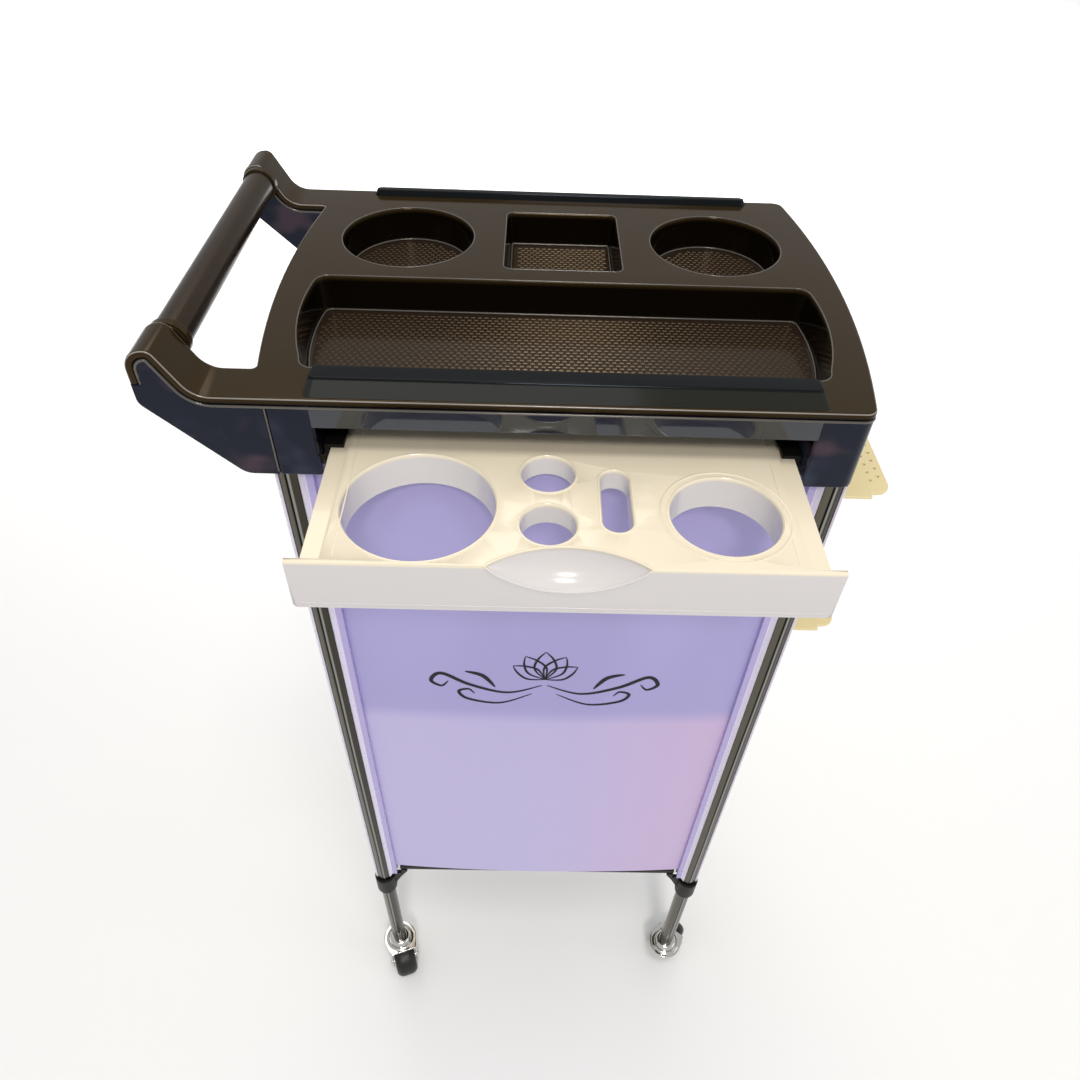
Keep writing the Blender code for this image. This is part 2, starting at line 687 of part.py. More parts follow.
def drawer_mesh_pieces():
    """The drawer about its own middle: rim and pull lips at z = 0, and a shallow open box under them."""
    rim = prism("drawer", rectangle((-0.174, 0.174), (-DRAWER_RIM_HALF_WIDTH, DRAWER_RIM_HALF_WIDTH)), -0.0008, 0.0015)
    lip_outline = rounded(
        rectangle(
            (-DRAWER_LIP_HALF_LENGTH, DRAWER_LIP_HALF_LENGTH), (-DRAWER_LIP_HALF_WIDTH, DRAWER_LIP_HALF_WIDTH)
        ),
        [0.010] * 4,
    )
    half, wide = DRAWER_HALF_LENGTH, DRAWER_HALF_WIDTH
    outer = rounded(rectangle((-half, half), (-wide, wide)), [0.008] * 4, 3)
    wall = DRAWER_WALL
    inner = rounded(rectangle((wall - half, half - wall), (wall - wide, wide - wall)), [0.006] * 4, 3)
    joins = [
        prism("lips", lip_outline, -0.0008, 0.0015),
        prism("box", outer, -DRAWER_DEPTH, 0.0005),
    ]
    for side in (-1, 1):
        edge = sorted((side * (DRAWER_LIP_HALF_LENGTH - 0.002), side * DRAWER_LIP_HALF_LENGTH))
        joins.append(block("turned_edge", edge, (-0.1073, 0.1073), (-0.009, 0.0005)))
    return rim, joins, prism("hollow", inner, wall - DRAWER_DEPTH, 0.01)


def drawers(parent, ivory):
    for index, (level, pull) in enumerate(zip(DRAWER_LEVELS, DRAWER_PULLS), start=1):
        slide = empty(f"drawer_{index}_slide", parent, (pull, 0, level))
        rim, joins, hollow = drawer_mesh_pieces()
        drawer = piece(f"drawer_{index}", rim, ivory, slide, 35)
        join(drawer, *joins)
        cut(drawer, hollow)


# ------------------------------------------------------------------- casters


def caster_cap_mesh():
    bottom = CASTER_CUP_BOTTOM
    seat = POST_BOTTOM - GAP
    stem = POST_RADIUS - POST_WALL - GAP
    radius = CASTER_CUP_RADIUS
    bore, bore_top = 0.0041, 0.0640
    profile = [
        (0, 0.078),
        (stem, 0.078),
        (stem, seat),
        (0.0100, seat),
        (0.0118, seat - 0.0008),
        (radius, seat - 0.0025),
        (radius, bottom),
        (bore, bottom),
        (bore, bore_top),
        (0, bore_top),
    ]
    return turned("caster_cap", profile, POST_STEPS)


def crown_outline():
    """The fork's crown in plan: round at the back, with sides that run forward to a straight front edge."""
    side = WHEEL_WIDTH / 2 + 0.0033
    turns = [math.radians(90 + 180 * step / 12) for step in range(13)]
    back = [(CROWN_RADIUS * math.cos(a), CROWN_RADIUS * math.sin(a)) for a in turns]
    return back + [(0.008, -0.0190), (CROWN_REACH, -side), (CROWN_REACH, side), (0.008, 0.0190)]


def caster_fork_meshes():
    """Crown plate, two legs and the king pin, with the swivel axis at x = 0 and the trail along +X."""
    crown_top = CASTER_CUP_BOTTOM - 0.0004
    leg_top = crown_top - 0.0005
    inner, outer = WHEEL_WIDTH / 2 + 0.0013, WHEEL_WIDTH / 2 + 0.0033
    crown = prism("fork", crown_outline(), CROWN_BOTTOM, crown_top)
    leg = [(-0.007, leg_top), (-0.007, 0.040)]
    for step in range(7):
        angle = math.radians(-160 + 160 * step / 6)
        leg.append((CASTER_TRAIL + 0.0062 * math.cos(angle), WHEEL_RADIUS + 0.0062 * math.sin(angle)))
    leg += [(0.0242, 0.032), (CROWN_REACH - 0.001, 0.040), (CROWN_REACH - 0.001, leg_top)]
    legs = [prism("leg", leg, low, high, "Y") for low, high in ((-outer, -inner), (inner, outer))]
    pin = prism("king_pin", circle((0, 0), 0.0038, POST_STEPS), CROWN_BOTTOM + 0.001, 0.0630)
    holes = prism("axle_hole", circle((CASTER_TRAIL, WHEEL_RADIUS), 0.0028, 12), -0.03, 0.03, "Y")
    return crown, [*legs, pin], holes


def wheel_mesh():
    half = WHEEL_WIDTH / 2
    radius = WHEEL_RADIUS
    bore = 0.0028
    side = [(bore, half), (0.0135, half), (0.0178, half - 0.0028), (radius, half - 0.0095)]
    profile = [(r, -h) for r, h in side] + [(r, h) for r, h in reversed(side)]
    return turned("wheel", profile, ROUND_STEPS, "Y")


def axle_mesh():
    head = WHEEL_WIDTH / 2 + 0.0033 + GAP
    tip = head + 0.0016
    half = [(0.0025, head), (0.0036, head), (0.0030, tip), (0, tip)]
    profile = [(r, -h) for r, h in reversed(half)] + half
    return turned("axle", profile, 12, "Y")


def casters(parent, chrome, black):
    cap_mesh = caster_cap_mesh()
    wheel = wheel_mesh()
    axle = axle_mesh()
    for name, (sign_x, sign_y) in CORNERS.items():
        foot = (sign_x * POST_SPACING_X / 2, sign_y * POST_SPACING_Y / 2, 0)
        post_foot = empty(f"caster_foot_{name}", parent, foot)
        piece(f"caster_cap_{name}", cap_mesh, chrome, post_foot, 40)
        swivel = empty(f"caster_swivel_{name}", parent, foot, math.radians(SWIVEL_DEGREES[name]))
        crown, joins, holes = caster_fork_meshes()
        fork = piece(f"caster_fork_{name}", crown, chrome, swivel, 35)
        join(fork, *joins)
        cut(fork, holes)
        hub = empty(f"caster_axle_line_{name}", swivel, (CASTER_TRAIL, 0, WHEEL_RADIUS))
        piece(f"caster_wheel_{name}", wheel, black, hub, 35)
        piece(f"caster_axle_{name}", axle, chrome, hub, 35)


# ---------------------------------------------------------------------- cart


def clear_scene():
    for thing in list(bpy.data.objects):
        bpy.data.objects.remove(thing, do_unlink=True)


def main():
    clear_scene()
    black = finish("black_gloss", (0.012, 0.012, 0.016), 0.12)
    black_plastic = finish("black_plastic", (0.02, 0.02, 0.022), 0.45)
    ivory = finish("ivory_gloss", (0.86, 0.80, 0.66), 0.18)
    lavender = finish("lavender", (0.52, 0.47, 0.78), 0.35)
    steel = finish("steel_tube", (0.30, 0.28, 0.26), 0.22, 1.0)
    chrome = finish("chrome", (0.75, 0.75, 0.74), 0.12, 1.0)
    rubber = finish("wheel_black", (0.03, 0.03, 0.03), 0.5)
    cart = empty("trolley_origin", None, SHIFT)
    top_tray(cart, black)
    top_housing(cart, black)
    handle(cart, black, black_plastic)
    accessory_tray(cart, ivory)
    tray_runners(cart, black_plastic)
    corner_pieces(cart, steel, lavender, black_plastic)
    panels(cart, lavender)
    base_plate(cart, black_plastic)
    drawer_rails(cart, lavender)
    drawers(cart, ivory)
    casters(cart, chrome, rubber)


main()
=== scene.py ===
"""Looks of the spa trolley cart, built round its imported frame. Metres, +Z up.

Shapes are written in the cabinet's own frame: x = 0 and y = 0 are midway between the posts, and z = 0 is
the floor. Every finished piece is then moved once to where the frame has the posts.
"""

import math

import bmesh
import bpy
from mathutils import Matrix, Vector
from mathutils.geometry import delaunay_2d_cdt


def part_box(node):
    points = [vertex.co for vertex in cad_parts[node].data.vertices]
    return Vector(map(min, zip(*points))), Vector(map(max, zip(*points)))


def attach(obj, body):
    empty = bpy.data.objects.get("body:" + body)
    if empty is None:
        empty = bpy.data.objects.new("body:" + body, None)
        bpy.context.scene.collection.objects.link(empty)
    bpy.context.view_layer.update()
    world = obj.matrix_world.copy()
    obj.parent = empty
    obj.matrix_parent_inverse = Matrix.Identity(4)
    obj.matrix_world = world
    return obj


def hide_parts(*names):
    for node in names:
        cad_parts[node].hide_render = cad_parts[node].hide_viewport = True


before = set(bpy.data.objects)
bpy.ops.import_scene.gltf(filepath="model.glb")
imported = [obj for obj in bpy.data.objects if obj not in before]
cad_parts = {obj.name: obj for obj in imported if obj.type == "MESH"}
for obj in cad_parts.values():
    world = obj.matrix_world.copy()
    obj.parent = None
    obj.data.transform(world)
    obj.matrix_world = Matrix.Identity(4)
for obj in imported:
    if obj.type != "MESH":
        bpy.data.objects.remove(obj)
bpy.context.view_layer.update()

CORNERS = {"front_left": (-1, -1), "front_right": (1, -1), "rear_left": (-1, 1), "rear_right": (1, 1)}


def middle(node):
    low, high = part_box(node)
    return (low + high) / 2


SHIFT = sum((middle(f"post_{name}") for name in CORNERS), Vector()) / len(CORNERS)
SHIFT.z = 0.0

# The same driving dimensions as the frame
POST_X, POST_Y = 0.171, 0.1325
POST_RADIUS = 0.008
DECK_TOP = 0.891
HALF_DEPTH = 0.144
DECK_CORNER_X = 0.1785
DECK_BULGE = 0.0145
LID_THICKNESS = 0.0045
APRON_BOTTOM = 0.835
APRON_WALL = 0.003
MOUTH_HALF_WIDTH = 0.147
MOUTH_TOP = 0.871
WELL_DEPTH = 0.0246
WELL_WALL = 0.0022
WELL_DRAFT = 0.0025
ARM_WIDTH = 0.031
HANDLE_X, HANDLE_Z = -0.2313, 0.9068
HUB_RADIUS = 0.0135
BAR_RADIUS = 0.011
TRAY_DECK = 0.851
TRAY_DEPTH = 0.248
TRAY_FRONT = -0.2323
TRAY_HALF_WIDTH = 0.1315
LIP_HALF_WIDTH = 0.150
LIP_BOTTOM = 0.815
SLEEVE_BOTTOM = 0.8285
SMALL_SLEEVE_BOTTOM = 0.8370
SLEEVE_WALL = 0.002
PANEL_EDGE_Y = 0.1318
PANEL_BOW = 0.005
PANEL_HALF_WIDTH = 0.1596
PANEL_BOTTOM = 0.258
PANEL_TOP = 0.8344
PANEL_THICKNESS = 0.0025
NOTCHES = ((-0.140, -0.036), (0.0555, 0.140))
NOTCH_BOTTOM = 0.826
DRAWER_LEVELS = (0.807, 0.669, 0.552, 0.435, 0.318)
DRAWER_PULLS = (0.033, 0.033, 0.0, 0.0, 0.0)
WHEEL_RADIUS = 0.021
WHEEL_WIDTH = 0.026
CASTER_TRAIL = 0.018
SWIVEL_DEGREES = {"front_left": -70.0, "front_right": 55.0, "rear_left": -115.0, "rear_right": -60.0}

LENS_MM = 27.993
CAMERA_PLACE = (-0.022937, -0.535384, 1.174520)
CAMERA_TURN = (45.0249, -1.6868, 0.1953)


# ------------------------------------------------------------------- outlines


def rounded(points, radii, steps=6, closed=True):
    """The outline with an arc of the given radius at each corner; a radius of 0 keeps the corner sharp."""
    result = []
    count = len(points)
    for index, (corner, radius) in enumerate(zip(points, radii)):
        is_end = not closed and index in (0, count - 1)
        if radius == 0 or is_end:
            result.append(corner)
            continue
        before = points[index - 1]
        after = points[(index + 1) % count]
        back = math.atan2(before[1] - corner[1], before[0] - corner[0])
        ahead = math.atan2(after[1] - corner[1], after[0] - corner[0])
        turn = (ahead - back + math.pi) % (2 * math.pi) - math.pi
        reach = radius / math.sin(abs(turn) / 2)
        towards = back + turn / 2
        centre = (corner[0] + reach * math.cos(towards), corner[1] + reach * math.sin(towards))
        side = 1 if turn > 0 else -1
        start = back - side * math.pi / 2
        sweep = -side * (math.pi - abs(turn))
        for step in range(steps + 1):
            angle = start + sweep * step / steps
            result.append((centre[0] + radius * math.cos(angle), centre[1] + radius * math.sin(angle)))
    return result


def inset(points, distance):
    """The closed counter-clockwise outline moved inwards, or outwards for a negative distance."""
    if distance == 0:
        return list(points)
    moved = []
    count = len(points)
    for index, (x, y) in enumerate(points):
        before = Vector(points[index - 1])
        here = Vector((x, y))
        after = Vector(points[(index + 1) % count])
        first = (here - before).normalized()
        second = (after - here).normalized()
        normal_a = Vector((-first.y, first.x))
        normal_b = Vector((-second.y, second.x))
        mitre = (normal_a + normal_b) / max(1 + normal_a.dot(normal_b), 0.3)
        moved.append(tuple(here + mitre * distance))
    return moved


def anticlockwise(points):
    area = sum(a[0] * b[1] - b[0] * a[1] for a, b in zip(points, points[1:] + points[:1]))
    return list(points) if area > 0 else list(points[::-1])


def rectangle(x, y):
    return [(x[0], y[0]), (x[1], y[0]), (x[1], y[1]), (x[0], y[1])]


def soft_rectangle(x, y, radius, steps=6):
    return rounded(rectangle(x, y), [radius] * 4, steps)


def circle(centre, radius, steps=48):
    turns = [2 * math.pi * step / steps for step in range(steps)]
    return [(centre[0] + radius * math.cos(a), centre[1] + radius * math.sin(a)) for a in turns]


def side_x(y):
    """The deck's side outline: a shallow arc that bulges outwards midway along the side."""
    return DECK_CORNER_X + DECK_BULGE * (1 - (y / HALF_DEPTH) ** 2)


def spread(low, high, steps):
    return [low + (high - low) * step / steps for step in range(steps + 1)]


# --------------------------------------------------------------------- shapes


class Shape:
    """A mesh being built from loops of points."""

    def __init__(self):
        self.points = []
        self.faces = []

    def loop(self, points):
        start = len(self.points)
        self.points.extend(points)
        return list(range(start, len(self.points)))

    def bridge(self, first, second, closed=True):
        count = len(first)
        for index in range(count if closed else count - 1):
            following = (index + 1) % count
            self.faces.append((first[index], first[following], second[following], second[index]))

    def skin(self, loops, wrap=False):
        """Bands between each loop and the next, and from the last to the first where it wraps."""
        following = loops[1:] + loops[:1] if wrap else loops[1:]
        for first, second in zip(loops, following):
            self.bridge(first, second)

    def layers(self, outline, levels, place):
        """The outline at each (inset, level), with bands between: its first and last ring."""
        rings = []
        for t, h in levels:
            flat = inset(outline, t)
            rings.append((self.loop([place(x, y, h) for x, y in flat]), flat))
        self.skin([loop for loop, _ in rings])
        return rings[0], rings[-1]

    def fill(self, rings, place, lines=()):
        """Flat faces inside the first ring, less the others. A ring is (loop, its points in the plane)."""
        plane, owners, edges = [], [], []
        for loop, outline in rings:
            start = len(plane)
            count = len(outline)
            plane.extend(Vector(point) for point in outline)
            owners.extend(loop)
            edges.extend((start + index, start + (index + 1) % count) for index in range(count))
        borders = [(plane[a], plane[b]) for a, b in edges]
        made = delaunay_2d_cdt(plane, edges + list(lines), [], 0, 1e-8)
        corners, triangles, sources = made[0], made[2], made[3]
        names = []
        for corner, source in zip(corners, sources):
            if source:
                names.append(owners[source[0]])
            else:
                names.extend(self.loop([place(corner.x, corner.y)]))
        for triangle in triangles:
            centre = sum((corners[index] for index in triangle), Vector((0, 0))) / 3
            crossings = 0
            for a, b in borders:
                if (a.y > centre.y) != (b.y > centre.y):
                    at = a.x + (centre.y - a.y) * (b.x - a.x) / (b.y - a.y)
                    crossings += at > centre.x
            if crossings % 2:
                self.faces.append(tuple(names[index] for index in triangle))

    def add(self, other):
        start = len(self.points)
        self.points.extend(other.points)
        self.faces.extend(tuple(start + index for index in face) for face in other.faces)


def quarter(radius, steps=3):
    """(inset, depth) pairs down a rounded edge, from its flat face to its side."""
    turns = [math.pi / 2 * step / steps for step in range(steps + 1)]
    return [(radius - radius * math.sin(a), radius - radius * math.cos(a)) for a in turns]


def along_z(a, b, h):
    return (a, b, h)


def along_y(a, b, h):
    return (a, h, b)


def along_x(a, b, h):
    return (h, a, b)


def slab(outline, low, high, edge=0.0005, place=along_z, holes=(), lines=(), steps=2):
    """A plate between two levels with rounded edges all round it and round its holes."""
    shape = Shape()
    outline = anticlockwise(outline)
    holes = [anticlockwise(hole) for hole in holes]
    soft = quarter(edge, steps) if edge else [(0, 0)]
    levels = [(t, low + d) for t, d in soft] + [(t, high - d) for t, d in reversed(soft)]
    rings = []
    for ring, sign in [(outline, 1)] + [(hole, -1) for hole in holes]:
        rings.append(shape.layers(ring, [(sign * t, h) for t, h in levels], place))
    shape.fill([first for first, _ in rings], lambda x, y: place(x, y, low), lines)
    shape.fill([last for _, last in rings], lambda x, y: place(x, y, high), lines)
    return shape


def turned(profile, centre=(0, 0, 0), steps=48, axis="Z", open_profile=False):
    """The profile of (radius, height) points turned about an axis through the centre."""
    shape = Shape()
    rings = []
    for radius, height in profile:
        ring = []
        for step in range(steps if radius > 0 else 1):
            angle = 2 * math.pi * step / steps
            first, second = radius * math.cos(angle), radius * math.sin(angle)
            spot = (first, second, height) if axis == "Z" else (first, height, second)
            ring.append(tuple(base + offset for base, offset in zip(centre, spot)))
        rings.append(shape.loop(ring))
    pairs = list(zip(rings, rings[1:]))
    if not open_profile:
        pairs.append((rings[-1], rings[0]))
    for first, second in pairs:
        if len(first) == 1 and len(second) == 1:
            continue
        for step in range(steps):
            following = (step + 1) % steps
            if len(first) == 1:
                shape.faces.append((first[0], second[step], second[following]))
            elif len(second) == 1:
                shape.faces.append((first[step], first[following], second[0]))
            else:
                shape.faces.append((first[step], first[following], second[following], second[step]))
    return shape


def ring_of(outline, section, place=along_z):
    """A closed ring: each (outset, height) of the section carried round the outline."""
    shape = Shape()
    outline = anticlockwise(outline)
    shape.skin([shape.loop([place(x, y, h) for x, y in inset(outline, -t)]) for t, h in section], wrap=True)
    return shape


def tube(path, radius, up, steps=8):
    """A closed round bead along the points of a path."""
    shape = Shape()
    loops = []
    count = len(path)
    for index in range(count):
        way = (Vector(path[(index + 1) % count]) - Vector(path[index - 1])).normalized()
        side = way.cross(Vector(up)).normalized()
        rise = side.cross(way)
        ring = []
        for step in range(steps):
            turn = 2 * math.pi * step / steps
            ring.append(tuple(Vector(path[index]) + (side * math.cos(turn) + rise * math.sin(turn)) * radius))
        loops.append(shape.loop(ring))
    shape.skin(loops, wrap=True)
    return shape


def together(*shapes):
    whole = Shape()
    for shape in shapes:
        whole.add(shape)
    return whole


def moved(shape, matrix):
    copy = Shape()
    copy.points = [tuple(matrix @ Vector(point)) for point in shape.points]
    copy.faces = list(shape.faces)
    return copy


def make(name, shape, finish, body, slot, nodes=(), sharp=35, modifiers=(), orient=True, origin=(0, 0, 0)):
    """The finished piece: smooth, in place, riding on its body, and standing for the frame's nodes."""
    origin = Vector(origin)
    bm = bmesh.new()
    corners = [bm.verts.new(Vector(point) - origin) for point in shape.points]
    for face in shape.faces:
        if len(set(face)) > 2:
            try:
                bm.faces.new([corners[index] for index in face])
            except ValueError:
                continue
    loose = [vert for vert in bm.verts if not vert.link_faces]
    bmesh.ops.delete(bm, geom=loose, context="VERTS")
    if orient:
        bmesh.ops.recalc_face_normals(bm, faces=bm.faces)
    mesh = bpy.data.meshes.new(name)
    bm.to_mesh(mesh)
    bm.free()
    mesh.materials.append(finish.material)
    mesh.shade_smooth()
    mesh.set_sharp_from_angle(angle=math.radians(sharp))
    piece = bpy.data.objects.new(name, mesh)
    piece.location = origin + SHIFT
    bpy.context.scene.collection.objects.link(piece)
    for kind, settings in modifiers:
        modifier = piece.modifiers.new(kind.lower(), kind)
        for key, value in settings.items():
            setattr(modifier, key, value)
    weighted = piece.modifiers.new("even_shading", "WEIGHTED_NORMAL")
    weighted.keep_sharp = True
    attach(piece, body)
    if nodes:
        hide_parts(*nodes)
    return piece


# ------------------------------------------------------------------ materials


class Finish:
    """A Principled material whose colour, roughness and bump come from noise in the object's own space."""

    def __init__(self, name, colour, other, roughness, spread_by=0.04, scale=30.0, **constants):
        self.material = bpy.data.materials.new(name)
        self.material.use_nodes = True
        self.tree = self.material.node_tree
        self.shader = self.tree.nodes["Principled BSDF"]
        self.place = self.node("ShaderNodeTexCoord").outputs["Object"]
        self.patches = self.noise(scale / 4, 3.0)
        self.colour = self.blend(self.patches, colour, other)
        self.fine = self.noise(scale * 4, 4.0)
        rough = self.node("ShaderNodeMapRange")
        rough.inputs["To Min"].default_value = max(roughness - spread_by, 0.02)
        rough.inputs["To Max"].default_value = roughness + spread_by
        self.link(self.fine, rough.inputs["Value"])
        self.link(rough.outputs["Result"], self.shader.inputs["Roughness"])
        self.link(self.colour, self.shader.inputs["Base Color"])
        for key, value in constants.items():
            self.shader.inputs[key.replace("_", " ").title()].default_value = value

    def node(self, kind):
        return self.tree.nodes.new(kind)

    def link(self, output, socket):
        self.tree.links.new(output, socket)

    def noise(self, scale, detail, stretch=(1, 1, 1)):
        spread_out = self.node("ShaderNodeMapping")
        spread_out.inputs["Scale"].default_value = stretch
        texture = self.node("ShaderNodeTexNoise")
        texture.inputs["Scale"].default_value = scale
        texture.inputs["Detail"].default_value = detail
        self.link(self.place, spread_out.inputs["Vector"])
        self.link(spread_out.outputs["Vector"], texture.inputs["Vector"])
        return texture.outputs["Fac"]

    def blend(self, share, colour, other):
        mix = self.node("ShaderNodeMix")
        mix.data_type = "RGBA"
        self.link(share, mix.inputs["Factor"])
        for socket, value in ((mix.inputs[6], colour), (mix.inputs[7], other)):
            if isinstance(value, tuple):
                socket.default_value = (*value, 1)
            else:
                self.link(value, socket)
        return mix.outputs[2]

    def share(self, value, low, high):
        """How far a value lies between two levels, from 0 to 1, with soft ends."""
        share = self.node("ShaderNodeMapRange")
        share.interpolation_type = "SMOOTHSTEP"
        share.inputs["From Min"].default_value = low
        share.inputs["From Max"].default_value = high
        self.link(value, share.inputs["Value"])
        return share.outputs["Result"]

    def math(self, operation, *values):
        step = self.node("ShaderNodeMath")
        step.operation = operation
        for socket, value in zip(step.inputs, values):
            if isinstance(value, (int, float)):
                socket.default_value = value
            else:
                self.link(value, socket)
        return step.outputs[0]

    def along(self, axis):
        parts = self.node("ShaderNodeSeparateXYZ")
        self.link(self.place, parts.inputs["Vector"])
        return parts.outputs[axis]

    def repaint(self, colour):
        self.colour = colour
        self.link(colour, self.shader.inputs["Base Color"])

    def height(self, axis, low, high):
        """How far a point lies between two levels on an axis, from 0 to 1."""
        return self.share(self.along(axis), low, high)

    def bump(self, heights, strength, distance=0.0004):
        bump = self.node("ShaderNodeBump")
        bump.inputs["Strength"].default_value = strength
        bump.inputs["Distance"].default_value = distance
        self.link(heights, bump.inputs["Height"])
        self.link(bump.outputs["Normal"], self.shader.inputs["Normal"])
        return self


def black_gloss(name, colour, other, roughness, shine, tint, scale=26.0):
    finish = Finish(name, colour, other, roughness, 0.03, scale)
    finish.shader.inputs["Specular IOR Level"].default_value = shine
    finish.shader.inputs["Specular Tint"].default_value = (*tint, 1)
    return finish.bump(finish.noise(55.0, 2.0), 0.03)


def metal(name, colour, other, roughness, stretch):
    finish = Finish(name, colour, other, roughness, 0.05, 40.0)
    finish.shader.inputs["Metallic"].default_value = 1.0
    return finish.bump(finish.noise(90.0, 3.0, stretch), 0.05, 0.0002)


WARM, COOL = (1.0, 0.76, 0.50), (0.62, 0.74, 1.0)
lid_black = black_gloss("lid_black", (0.030, 0.018, 0.006), (0.023, 0.015, 0.006), 0.13, 0.19, WARM)
ridge_black = black_gloss("ridge_black", (0.004, 0.005, 0.005), (0.006, 0.006, 0.005), 0.12, 0.13, COOL)
# Painted light: the sloped front face of the front ridge is lighter than the rest of the ridges
slope = ridge_black.height("Y", -0.1286, -0.1278)
ridge_black.repaint(ridge_black.blend(slope, (0.016, 0.016, 0.011), ridge_black.colour))
# Painted highlights: a dark grey finish for the fine beads, standing for thin bright lines
rim_glint = black_gloss("rim_glint", (0.13, 0.12, 0.105), (0.05, 0.045, 0.04), 0.16, 0.5, (1, 1, 1), 60.0)
header_colours = (0.005, 0.007, 0.012), (0.010, 0.010, 0.014)
header_black = black_gloss("header_black", *header_colours, 0.05, 0.95, (0.9, 0.95, 1.0))

# Painted shade: the wells' walls are darker than the deck and their floors
in_well = lid_black.height("Z", DECK_TOP - 0.0010, DECK_TOP - 0.0040)
painted_wall_shade = lid_black.blend(in_well, lid_black.colour, (0.003, 0.002, 0.001))
on_floor = lid_black.height("Z", DECK_TOP - 0.0230, DECK_TOP - 0.0240)
lid_black.repaint(lid_black.blend(on_floor, painted_wall_shade, (0.020, 0.013, 0.008)))
# Painted highlight: a light grey finish for the bead along the lid's edge, standing for a bright line
edge_glint = black_gloss("edge_glint", (0.30, 0.28, 0.25), (0.16, 0.15, 0.13), 0.16, 0.5, (1, 1, 1), 60.0)

# Faint patches on the housing that stand for reflections
body_black = black_gloss("body_black", (0.003, 0.004, 0.009), (0.006, 0.006, 0.012), 0.10, 0.30, COOL)
slate = body_black.share(body_black.noise(17.0, 3.0), 0.52, 0.70)
rose = body_black.share(body_black.noise(23.0, 2.0, (1, 1, 1.6)), 0.56, 0.72)
patchy = body_black.blend(slate, body_black.colour, (0.030, 0.036, 0.060))
body_black.repaint(body_black.blend(rose, patchy, (0.048, 0.026, 0.036)))

weave_black = black_gloss("weave_black", (0.034, 0.021, 0.012), (0.014, 0.012, 0.008), 0.26, 0.42, WARM, 60.0)
bar_black = black_gloss("bar_black", (0.026, 0.014, 0.007), (0.012, 0.008, 0.005), 0.24, 0.26, WARM)
satin_black = Finish("satin_black", (0.005, 0.005, 0.005), (0.009, 0.009, 0.008), 0.4, 0.08, 60.0)
satin_black.shader.inputs["Specular IOR Level"].default_value = 0.16
satin_black.bump(satin_black.noise(300.0, 3.0), 0.12)
ivory = Finish("ivory", (0.82, 0.735, 0.57), (0.79, 0.715, 0.565), 0.2, 0.05, 20.0, coat_weight=0.2)
ivory.shader.inputs["Coat Roughness"].default_value = 0.08
ivory.bump(ivory.noise(45.0, 2.0), 0.05)

# Painted shade: the tray's lip and sleeves are greyer than its top
flange = ivory.math("MULTIPLY", ivory.share(ivory.math("ABSOLUTE", ivory.along("X")), 0.1290, 0.1294),
                    ivory.height("Y", TRAY_FRONT + 0.0006, TRAY_FRONT + 0.0016))
upper = ivory.math("MAXIMUM", flange, ivory.height("Z", TRAY_DECK - 0.0025, TRAY_DECK - 0.0006))
ivory.repaint(ivory.blend(upper, (0.66, 0.635, 0.635), ivory.colour))

drawer_ivory = Finish("drawer_ivory", (0.78, 0.66, 0.36), (0.74, 0.64, 0.37), 0.3, 0.06, 24.0)
drawer_ivory.bump(drawer_ivory.noise(60.0, 2.0), 0.06)

# Painted light on the panel: a painted shadow makes it darker and bluer above; below it is paler, with a
# painted reflection making it pinker at the lower right
lavender = Finish("lavender", (0.37, 0.34, 0.65), (0.40, 0.36, 0.66), 0.34, 0.05, 10.0)
lavender.bump(lavender.noise(160.0, 3.0), 0.03)
pale = lavender.blend(lavender.height("X", -0.02, 0.17), (0.51, 0.46, 0.74), (0.57, 0.43, 0.67))
lavender.repaint(lavender.blend(lavender.height("Z", 0.575, 0.550), lavender.colour, pale))

profile_lilac = Finish("profile_lilac", (0.46, 0.40, 0.70), (0.42, 0.37, 0.66), 0.28, 0.05, 18.0)
profile_lilac.bump(profile_lilac.noise(120.0, 2.0, (1, 1, 0.05)), 0.04)
# Painted highlight: the profile's clip round the post is paler than the rest of it
reach = profile_lilac.math("SQRT", profile_lilac.math(
    "ADD",
    profile_lilac.math("POWER", profile_lilac.along("X"), 2.0),
    profile_lilac.math("POWER", profile_lilac.along("Y"), 2.0),
))
clip_highlight = profile_lilac.share(reach, 0.0106, 0.0098)
profile_lilac.repaint(profile_lilac.blend(clip_highlight, profile_lilac.colour, (0.80, 0.76, 0.88)))

ink = Finish("ink", (0.006, 0.006, 0.010), (0.012, 0.011, 0.016), 0.45, 0.06, 60.0)
ink.shader.inputs["Specular IOR Level"].default_value = 0.2
chrome = metal("chrome", (0.72, 0.71, 0.68), (0.62, 0.61, 0.58), 0.12, (1, 1, 1))
tread = Finish("tread", (0.012, 0.012, 0.013), (0.020, 0.020, 0.019), 0.38, 0.08, 90.0)
tread.shader.inputs["Specular IOR Level"].default_value = 0.3
tread.bump(tread.noise(260.0, 3.0), 0.1)

# Dark and bright streaks down the tube's front that stand for reflections, set by the turn about its own axis
steel = metal("steel", (0.10, 0.092, 0.072), (0.13, 0.12, 0.095), 0.2, (1, 1, 0.02))
turn = steel.math("ARCTAN2", steel.along("Y"), steel.along("X"))
turn = steel.math("MULTIPLY", turn, 180 / math.pi)
turn = steel.math("ADD", turn, steel.math("MULTIPLY", steel.noise(9.0, 2.0, (1, 1, 0.5)), 14.0))
brown = steel.blend(steel.share(turn, -96.0, -90.0), steel.colour, (0.006, 0.006, 0.005))
bright = steel.blend(steel.share(turn, -84.0, -80.0), brown, (0.27, 0.27, 0.25))
dark = steel.blend(steel.share(turn, -74.0, -68.0), bright, (0.055, 0.050, 0.040))
steel.repaint(dark)


# ------------------------------------------------------------- lid and housing


